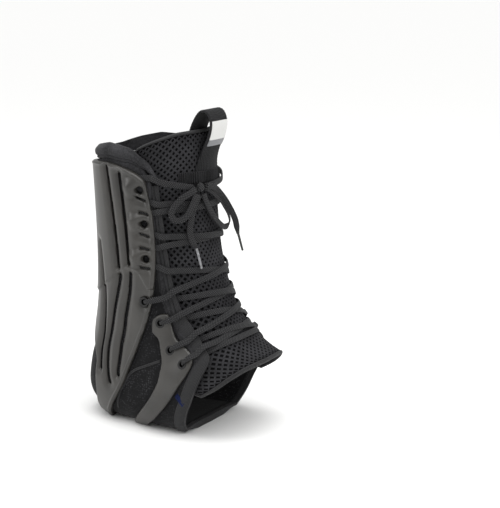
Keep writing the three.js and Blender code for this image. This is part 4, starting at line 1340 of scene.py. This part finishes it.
left_loop = bow_cord("bow_loop_near", LEFT_LOOP, "bow_loop_left")
right_loop = bow_cord("bow_loop_far", RIGHT_LOOP, "bow_loop_right")
left_end = bow_cord("lace_end_near", LEFT_END, "lace_end_left", taper=0.45)
right_end = bow_cord("lace_end_far", RIGHT_END, "lace_end_right", twist=math.radians(70),
                     taper=0.45)

# %% [markdown]
# ### Knot and tips
# A bow's knot is the lace wrapped once round itself, so it is a small core with a band of lace turned
# round it. The band is one flat section spun round a full turn. The tips are lace wrapped in film and
# heated: stiff round pins, one dark and one clear and shiny, the clear one coloured light grey as a painted highlight.

# %% Placing and joining small shapes
def frame_at(s, phi, height):
    """Turns local axes, right, down the form and outward, into a place on it."""
    at = skin(s, phi, height)[0]
    out = outward(np.atleast_1d(s), np.atleast_1d(phi))[0]
    down = unit(slopes(np.atleast_1d(s), np.atleast_1d(phi))[0])[0]
    down = unit(down - out * (down @ out))
    right = np.cross(down, out)
    axes = Matrix((right, down, out)).transposed().to_4x4()
    return Matrix.Translation(Vector(at)) @ axes


def spin_closed(ring, axis, steps):
    """Spins a section a full turn about an axis, and closes the seam."""
    bmesh.ops.spin(ring, geom=ring.verts[:] + ring.edges[:], cent=(0, 0, 0), axis=axis,
                   angle=2 * math.pi, steps=steps, use_merge=True)
    bmesh.ops.remove_doubles(ring, verts=ring.verts, dist=1e-4)
    bmesh.ops.recalc_face_normals(ring, faces=ring.faces)


def join(bm, other):
    """Adds the faces of another bmesh, and frees it."""
    part = bpy.data.meshes.new("part")
    other.to_mesh(part)
    other.free()
    bm.from_mesh(part)
    bpy.data.meshes.remove(part)


# %% Knot
KNOT_PLACE = (1.68, 22.5, 8.2)
KNOT_RISE = 0.6
CORE_HALVES = (3.1, 2.3, 1.4)
BAND_SECTION = (1.9, 0.55, 1)
BAND_RADIUS = 2.5
BAND_FLATNESS = 0.72
# How far each turn of the band is tilted, and how far it lies to the right
BAND_TURNS = [(0.35, 0.0), (-0.5, 0.6)]


def knot():
    bm = bmesh.new()
    core = bmesh.ops.create_icosphere(bm, subdivisions=4, radius=1)["verts"]
    bmesh.ops.scale(bm, vec=CORE_HALVES, verts=core)
    for tilt, reach in BAND_TURNS:
        ring = bmesh.new()
        bmesh.ops.create_circle(ring, segments=16, radius=1)
        bmesh.ops.scale(ring, vec=BAND_SECTION, verts=ring.verts)
        bmesh.ops.translate(ring, vec=(reach, BAND_RADIUS, 0), verts=ring.verts)
        spin_closed(ring, (1, 0, 0), 36)
        bmesh.ops.scale(ring, vec=(1, 1, BAND_FLATNESS), verts=ring.verts)
        bmesh.ops.rotate(ring, cent=(0, 0, 0), matrix=Matrix.Rotation(tilt, 3, "Z"), verts=ring.verts)
        join(bm, ring)
    sheet_uv = bm.loops.layers.uv.new("cloth")
    for face in bm.faces:
        for loop in face.loops:
            loop[sheet_uv].uv = (loop.vert.co.x, loop.vert.co.y + loop.vert.co.z)
    s, phi, height = KNOT_PLACE
    bmesh.ops.transform(bm, matrix=frame_at(s, phi, height + KNOT_RISE), verts=bm.verts)
    finished(bm, "knot_of_bow", LACE, replaces=["bow_knot"], slot="lace")


knot()

# %% Tips
TIP_LENGTH = 15.0
TIP_RADIUS = 0.95
TIP_TAPER = 0.15
LEFT_TIP = [[2.925, 31, 7.5], [3.6, 29.5, 7.9]]
RIGHT_TIP = [[2.74, -24, 15.9], [3.4, -25.5, 17.6]]


def film(name, dark, light, roughness):
    """Acetate film shrunk round the lace: smooth and glossy, with a faint streaky tone."""
    material, tree, shader = new_material(name, Roughness=roughness, IOR=1.48, Coat_Weight=0.4)
    place = add(tree, "ShaderNodeTexCoord").outputs["Object"]
    streak = add(tree, "ShaderNodeTexNoise", {"Scale": 500.0, "Detail": 2.0}, {"Vector": place})
    tone = add(tree, "ShaderNodeValToRGB", links={"Fac": streak.outputs["Fac"]},
               stops=[(0.3, dark), (0.7, light)])
    tree.links.new(tone.outputs["Color"], shader.inputs["Base Color"])
    return material


def tip(name, ends, material, node, slot):
    start, end = (Vector(skin(*place)[0]) for place in ends)
    bm = bmesh.new()
    bmesh.ops.create_cone(bm, cap_ends=True, segments=20, radius1=TIP_RADIUS,
                          radius2=TIP_RADIUS - TIP_TAPER, depth=TIP_LENGTH)
    caps = [e for e in bm.edges if sum(len(f.verts) > 4 for f in e.link_faces) == 1]
    bmesh.ops.bevel(bm, geom=caps, offset=0.35, segments=3, affect="EDGES", profile=0.5, material=-1)
    heading = (end - start).normalized()
    bmesh.ops.rotate(bm, cent=(0, 0, 0), matrix=heading.to_track_quat("Z", "Y").to_matrix(), verts=bm.verts)
    bmesh.ops.translate(bm, vec=start + heading * TIP_LENGTH / 2, verts=bm.verts)
    return finished(bm, name, material, replaces=[node], slot=slot)


# The clear film's light grey colour is a painted highlight: it stands in for the glint of clear film over the dark
# lace
CLEAR_FILM = film("clear_acetate_film", "#5c5c5e", "#8d8d90", 0.2)
DARK_FILM = film("dark_acetate_film", "#0d0d0e", "#19191a", 0.25)
tip_near = tip("tip_near", LEFT_TIP, CLEAR_FILM, "lace_tip_left", "tip_clear")
tip_far = tip("tip_far", RIGHT_TIP, DARK_FILM, "lace_tip_right", "tip_dark")

# %% Declaring the free cords
for (piece, path, length), far_end, with_pieces in (
        (left_loop, "object", []), (right_loop, "object", []),
        (left_end, "fitting", [tip_near]), (right_end, "fitting", [tip_far])):
    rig.cord(piece, exit=path[0], length=length * MM, diameter=LACE_WIDTH * MM, far_end=far_end,
            stiffness="limp", lay="hanging", path=path, with_pieces=with_pieces)

# %% [markdown]
# ## The pull loop
# A strap of woven webbing is doubled into a loop and sewn to the top of the tongue. It stands away from
# the tongue in a soft curve. A band of ribbed tape hides its base, and a woven label is folded round its
# front; here the label is plain white over a plain grey band.

# %% Pull loop
# Places along the loop as shares of its depth and height, and how much the webbing curves with the tongue
WEB_LINE = [[.58, 0, 1], [.54, .17, 1], [.52, .33, .95], [.63, .49, .6], [.87, .64, .3], [1, .78, .1],
            [.98, .89, 0], [.79, .98, 0], [.48, 1, 0], [.2, .94, 0], [0, .82, .5], [-.08, .71, .95],
            [-.07, .59, 1], [-.05, .48, 1]]
WEB_WIDTH = 23.0
WEB_THICKNESS = 1.6
RIB_WIDTH = 1.9
LOOP_HEIGHT = 54.8
LOOP_DEPTH = 14.0
WEB_FOOT = (0.584 * FORM_REACH, 0.74 * FORM_HEIGHT)
WEB_START = 0.06
FOOT_FLARE = 0.42
WRAP_DEPTH = 2.376
LABEL_WIDTH = 20.0
LABEL_THICKNESS = 0.5
LABEL_FROM, LABEL_BAND, LABEL_TO = 0.265, 0.302, 0.445


def web_point(share, side, rise):
    """Points of the webbing at a share of its length, a share of its width and a height over its middle."""
    place = share * (len(WEB_LINE) - 1)
    size = [LOOP_DEPTH, LOOP_HEIGHT, 1]
    heading = unit((between(WEB_LINE, place + 0.01) - between(WEB_LINE, place - 0.01))[:, :2] * size[:2])
    x, z, wrap = (between(WEB_LINE, place) * size).T
    spread = side * (1 + FOOT_FLARE * smooth(1 - share / 0.25))
    bend = wrap * spread ** 2 * WRAP_DEPTH
    return np.stack([WEB_FOOT[0] + x + heading[:, 1] * rise - bend, spread * WEB_WIDTH / 2,
                     WEB_FOOT[1] + z - heading[:, 0] * rise], -1)


def web_sheet(size, span, half, low, high):
    """A sheet along the webbing's line between two shares, with an inner and an outer side."""
    columns, rows = size
    bm = bmesh.new()
    bmesh.ops.create_grid(bm, x_segments=columns, y_segments=rows, size=0.5)
    shares = np.array([v.co[:2] for v in bm.verts]) + 0.5
    side, share = (2 * shares[:, 0] - 1) * half, mix(span[0], span[1], shares[:, 1])
    number = number_verts(bm)
    cloth = cloth_lengths(web_point(share, side, 0), columns, rows)
    lay_cloth(bm, number, cloth)
    edge = (half - np.abs(side)) * WEB_WIDTH / 2
    thicken(bm, number, web_point(share, side, low(cloth, edge)), web_point(share, side, high(cloth, edge)))
    return bm


def web_half(cloth, edge):
    """Half the webbing's thickness, with raised diagonals, turned in the middle like herring bones."""
    twill = 0.09 * np.sin((np.abs(cloth[:, 0]) + cloth[:, 1]) * 2 * math.pi / RIB_WIDTH)
    return WEB_THICKNESS / 2 - 0.1 - rounded(edge, 0.7, 0.6) + twill


web_bm = web_sheet((40, 300), (WEB_START, 1), 1.0, lambda cloth, edge: -web_half(cloth, edge), web_half)
pull = finished(web_bm, "pull_webbing", WEBBING, replaces=["pull_loop"], slot="webbing")
web_length = float(run_length(web_point(np.linspace(WEB_START, 1, 400), np.zeros(400), 0.0))[-1])
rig.sheet(pull, flat=(WEB_WIDTH * MM, web_length * MM), held="folded", rests_on=["tongue_pad"])
print("webbing is", round(web_length, 1), "mm long")


# %% Ribbed band at the base of the loop
BAND_TOP = 1.42
BAND_SECTIONS = 0.2
BAND_SPAN = 42
BAND_LENGTH = 64


def band_place(u, v):
    return BAND_TOP + BAND_SECTIONS * v, (2 * u - 1) * BAND_SPAN


def band_low(f):
    return np.full(len(f["s"]), TONGUE_WALL - 0.3)


def band_high(f):
    ribs = 0.28 * np.sin(f["u"] * BAND_LENGTH / RIB_WIDTH * 2 * math.pi)
    over_foot = 2.3 * smooth((30 - np.abs(f["phi"])) / 12)
    return TONGUE_WALL + 0.9 + over_foot + ribs - rounded(f["edge"], SOFT_EDGE, SOFT_EDGE)


wall("loop_base_band", (260, 16), band_place, band_low, band_high, WEBBING, slot="webbing")


# %% Label
def woven_label(name, dark, light):
    """Satin-woven polyester label: very fine even threads, slightly shiny, plain."""
    material, tree, shader = new_material(name, Roughness=0.55, Specular_IOR_Level=0.4, Sheen_Weight=0.15)
    cloth = add(tree, "ShaderNodeUVMap", uv_map="cloth").outputs["UV"]
    thread = add(tree, "ShaderNodeTexWave", {"Scale": ONE_RIB / 0.5}, {"Vector": cloth},
                 bands_direction="Y")
    tone = add(tree, "ShaderNodeValToRGB", links={"Fac": thread.outputs["Fac"]},
               stops=[(0.0, dark), (0.5, light)])
    tree.links.new(tone.outputs["Color"], shader.inputs["Base Color"])
    bump = add(tree, "ShaderNodeBump", {"Strength": 0.3, "Distance": 0.0001},
               {"Height": thread.outputs["Fac"]})
    tree.links.new(bump.outputs["Normal"], shader.inputs["Normal"])
    return material


def label_low(cloth, edge):
    return np.full(len(edge), WEB_THICKNESS / 2 + 0.12)


def label_high(cloth, edge):
    return WEB_THICKNESS / 2 + 0.3 + LABEL_THICKNESS - rounded(edge, 0.5, 0.4)


LABEL_WHITE = woven_label("woven_label_white", "#bcbcba", "#d4d4d2")
LABEL_GREY = woven_label("woven_label_grey", "#66676a", "#77787b")
label_bm = web_sheet((36, 70), (LABEL_FROM, LABEL_TO), LABEL_WIDTH / WEB_WIDTH, label_low, label_high)
band_top = float(web_point(np.array([LABEL_BAND]), np.array([0.0]), 0.0)[0, 2])
for face in label_bm.faces:
    face.material_index = int(face.calc_center_median().z < band_top)
finished(label_bm, "front_label", [LABEL_WHITE, LABEL_GREY], replaces=["loop_label"], slot="label")

# %% [markdown]
# ## Rings, seams and stitches
# Small things make the brace read at its true size. Each eyelet has a pressed black ring, made by
# spinning one round section. Stitches are real too: each is a tiny stretched ball of twenty faces, set
# along the seam a stitch length apart, which costs little because the ball is so plain.

# %% Eyelet rings
RING_RADIUS = 2.85
RING_WIRE = 0.8
RING_FLATNESS = 0.6
RING_SUNK = 0.15


def eyelet_rings():
    bm = bmesh.new()
    for s, phi in EYELETS:
        for sign in (1, -1):
            ring = bmesh.new()
            bmesh.ops.create_circle(ring, segments=10, radius=RING_WIRE)
            bmesh.ops.rotate(ring, cent=(0, 0, 0), matrix=Matrix.Rotation(math.pi / 2, 3, "X"),
                             verts=ring.verts)
            bmesh.ops.scale(ring, vec=(1, 1, RING_FLATNESS), verts=ring.verts)
            bmesh.ops.translate(ring, vec=(RING_RADIUS, 0, 0), verts=ring.verts)
            spin_closed(ring, (0, 0, 1), 28)
            height = SHELL_OUTER + float(lift(np.array([s]), np.array([phi]))[0]) - RING_SUNK
            bmesh.ops.transform(ring, matrix=frame_at(s, sign * phi, height), verts=ring.verts)
            join(bm, ring)
    finished(bm, "eyelet_rings", BLACK_RING, slot="moulding")


BLACK_RING = moulded_plastic("pressed_nylon_ring", "#010101", "#030303", gloss=0.6)
eyelet_rings()


# %% Stitches
def stitch_line(bm, points, ups, pitch, length, thick):
    """Sets stitches along a line of points, each lying along it, pressed into the cloth."""
    steps = run_length(points)
    for at in np.arange(pitch / 2, steps[-1], pitch):
        near = [Vector([np.interp(at + d, steps, points[:, k]) for k in range(3)]) for d in (-0.4, 0, 0.4)]
        heading = (near[2] - near[0]).normalized()
        up = Vector([np.interp(at, steps, ups[:, k]) for k in range(3)])
        up = (up - heading * up.dot(heading)).normalized()
        axes = Matrix((heading, up.cross(heading), up)).transposed().to_4x4()
        place = Matrix.Translation(near[1]) @ axes
        shape = Matrix.Diagonal((length / 2, thick / 2, thick / 2, 1))
        bmesh.ops.create_icosphere(bm, subdivisions=1, radius=1, matrix=place @ shape)


def seam_on_form(bm, s, phi, height, pitch=3.0, length=2.3, thick=0.5):
    points = skin(s, phi, height)
    stitch_line(bm, points, outward(s, phi), pitch, length, thick)


def collar_stitches(bm, count=500):
    """Along the dip low on the roll, half sunk in it."""
    u = np.linspace(0.02, 0.98, count)
    s, phi = collar_place(u, np.full(count, COLLAR_SEAM))
    full = collar_full(1 - np.abs(2 * u - 1))
    swell = COLLAR_THICKNESS * collar_swell(COLLAR_SEAM) - 0.8
    seam_on_form(bm, s, phi, BOOT_INNER + lift(s, phi) + full * swell)


def binding_stitches(bm, count=900, u=0.22):
    """Along the tape where it lies over the boot, on each side down to where it goes under the sole."""
    v = np.linspace(0.004, 0.996, count)
    s, phi = binding_place(np.full(count, u), v)
    above_sole = np.abs(from_front(phi)) < 140
    height = binding_high({"s": s, "phi": phi, "u": np.full(count, u), "v": v})
    for part in (v < 0.5, v > 0.5):
        chosen = part & above_sole
        seam_on_form(bm, s[chosen], phi[chosen], height[chosen])


def moulding_stitches(bm, count=400, gap=2.3):
    """Beside the wings' front edges and both edges of the strap, on the knit that they are sewn to."""
    for rows, u, away in ((WING, 0.0, -gap), (ARCH, 1.0, gap), (ARCH, 0.0, -gap)):
        for sign in (0, 1):
            v = np.linspace(0.12, 0.40, count)
            s, phi = evenly(strip_place(rows, 0))(np.full(count, u), 1 - v if sign else v)
            s, phi = slide(s, phi, 0, away if phi[0] < 180 else -away)
            open_knit = (s > 5.2) & (s < 9.0) & (np.abs(phi - 180) > 45)
            if open_knit.sum() > 20:
                s, phi = s[open_knit], phi[open_knit]
                seam_on_form(bm, s, phi, BOOT_OUTER + lift(s, phi) + 0.1, pitch=2.6, length=1.7, thick=0.45)


seams_bm = bmesh.new()
for sew in (collar_stitches, binding_stitches, moulding_stitches):
    sew(seams_bm)
finished(seams_bm, "seam_stitches", THREAD, slot="binding")

# %% Quarter seam
QUARTER_SEAM = [[8.2, 131], [8.03, 125], [7.55, 108], [7.28, 96.8], [7.38, 84.8], [7.57, 73.5]]
SEAM_RISE = 0.15
SEAM_WIDTH = 2.0
SEAM_THICKNESS = 0.9


def quarter_seam(name, side):
    """Where two panels of knit meet, the joint is covered by a thin flat seam."""
    s, phi = between(QUARTER_SEAM, np.linspace(0, len(QUARTER_SEAM) - 1, 24)).T
    route = np.stack([s, side * phi, BOOT_OUTER + lift(s, side * phi) + SEAM_RISE], -1)
    strip_along(name, route, 0.8, SEAM_WIDTH, SEAM_THICKNESS, TAPE, relief=0.3, slot="binding")


quarter_seam("quarter_seam_near", 1)
quarter_seam("quarter_seam_far", -1)

# %% Bar tack
NAVY_THREAD = brushed_knit("navy_thread", "#0c1126", "#1b2346", sheen=0.05)
TACK_FROM = (9.75, 91)
TACK_TO = (10.3, 98)
TACK_HALF = 1.9
TACK_ROWS = 15


def bar_tack():
    """A dense bar of thread sewn on the binding, as rows of stitches side by side."""
    bm = bmesh.new()
    for s, phi in np.linspace(TACK_FROM, TACK_TO, TACK_ROWS):
        ends = [slide(s, phi, 0, away) for away in (-TACK_HALF, TACK_HALF)]
        row_s, row_phi = np.linspace(*ends, 5)[:, :, 0].T
        seam_on_form(bm, row_s, row_phi, BOOT_OUTER + 0.75, pitch=1.9, length=2.6, thick=0.8)
    finished(bm, "bar_tack", NAVY_THREAD, slot="binding")


bar_tack()

# %% [markdown]
# ## Last sizes
# The box of the dressed brace and the box of its solids are written to extents.json and printed.

# %% Sizes and finish
visual_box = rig.bounds()
with open("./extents.json", "w") as out_file:
    json.dump({"cad": [list(corner) for corner in cad_box], "visual": [list(corner) for corner in visual_box]}, out_file)
print("solids", cad_box, "dressed", visual_box)
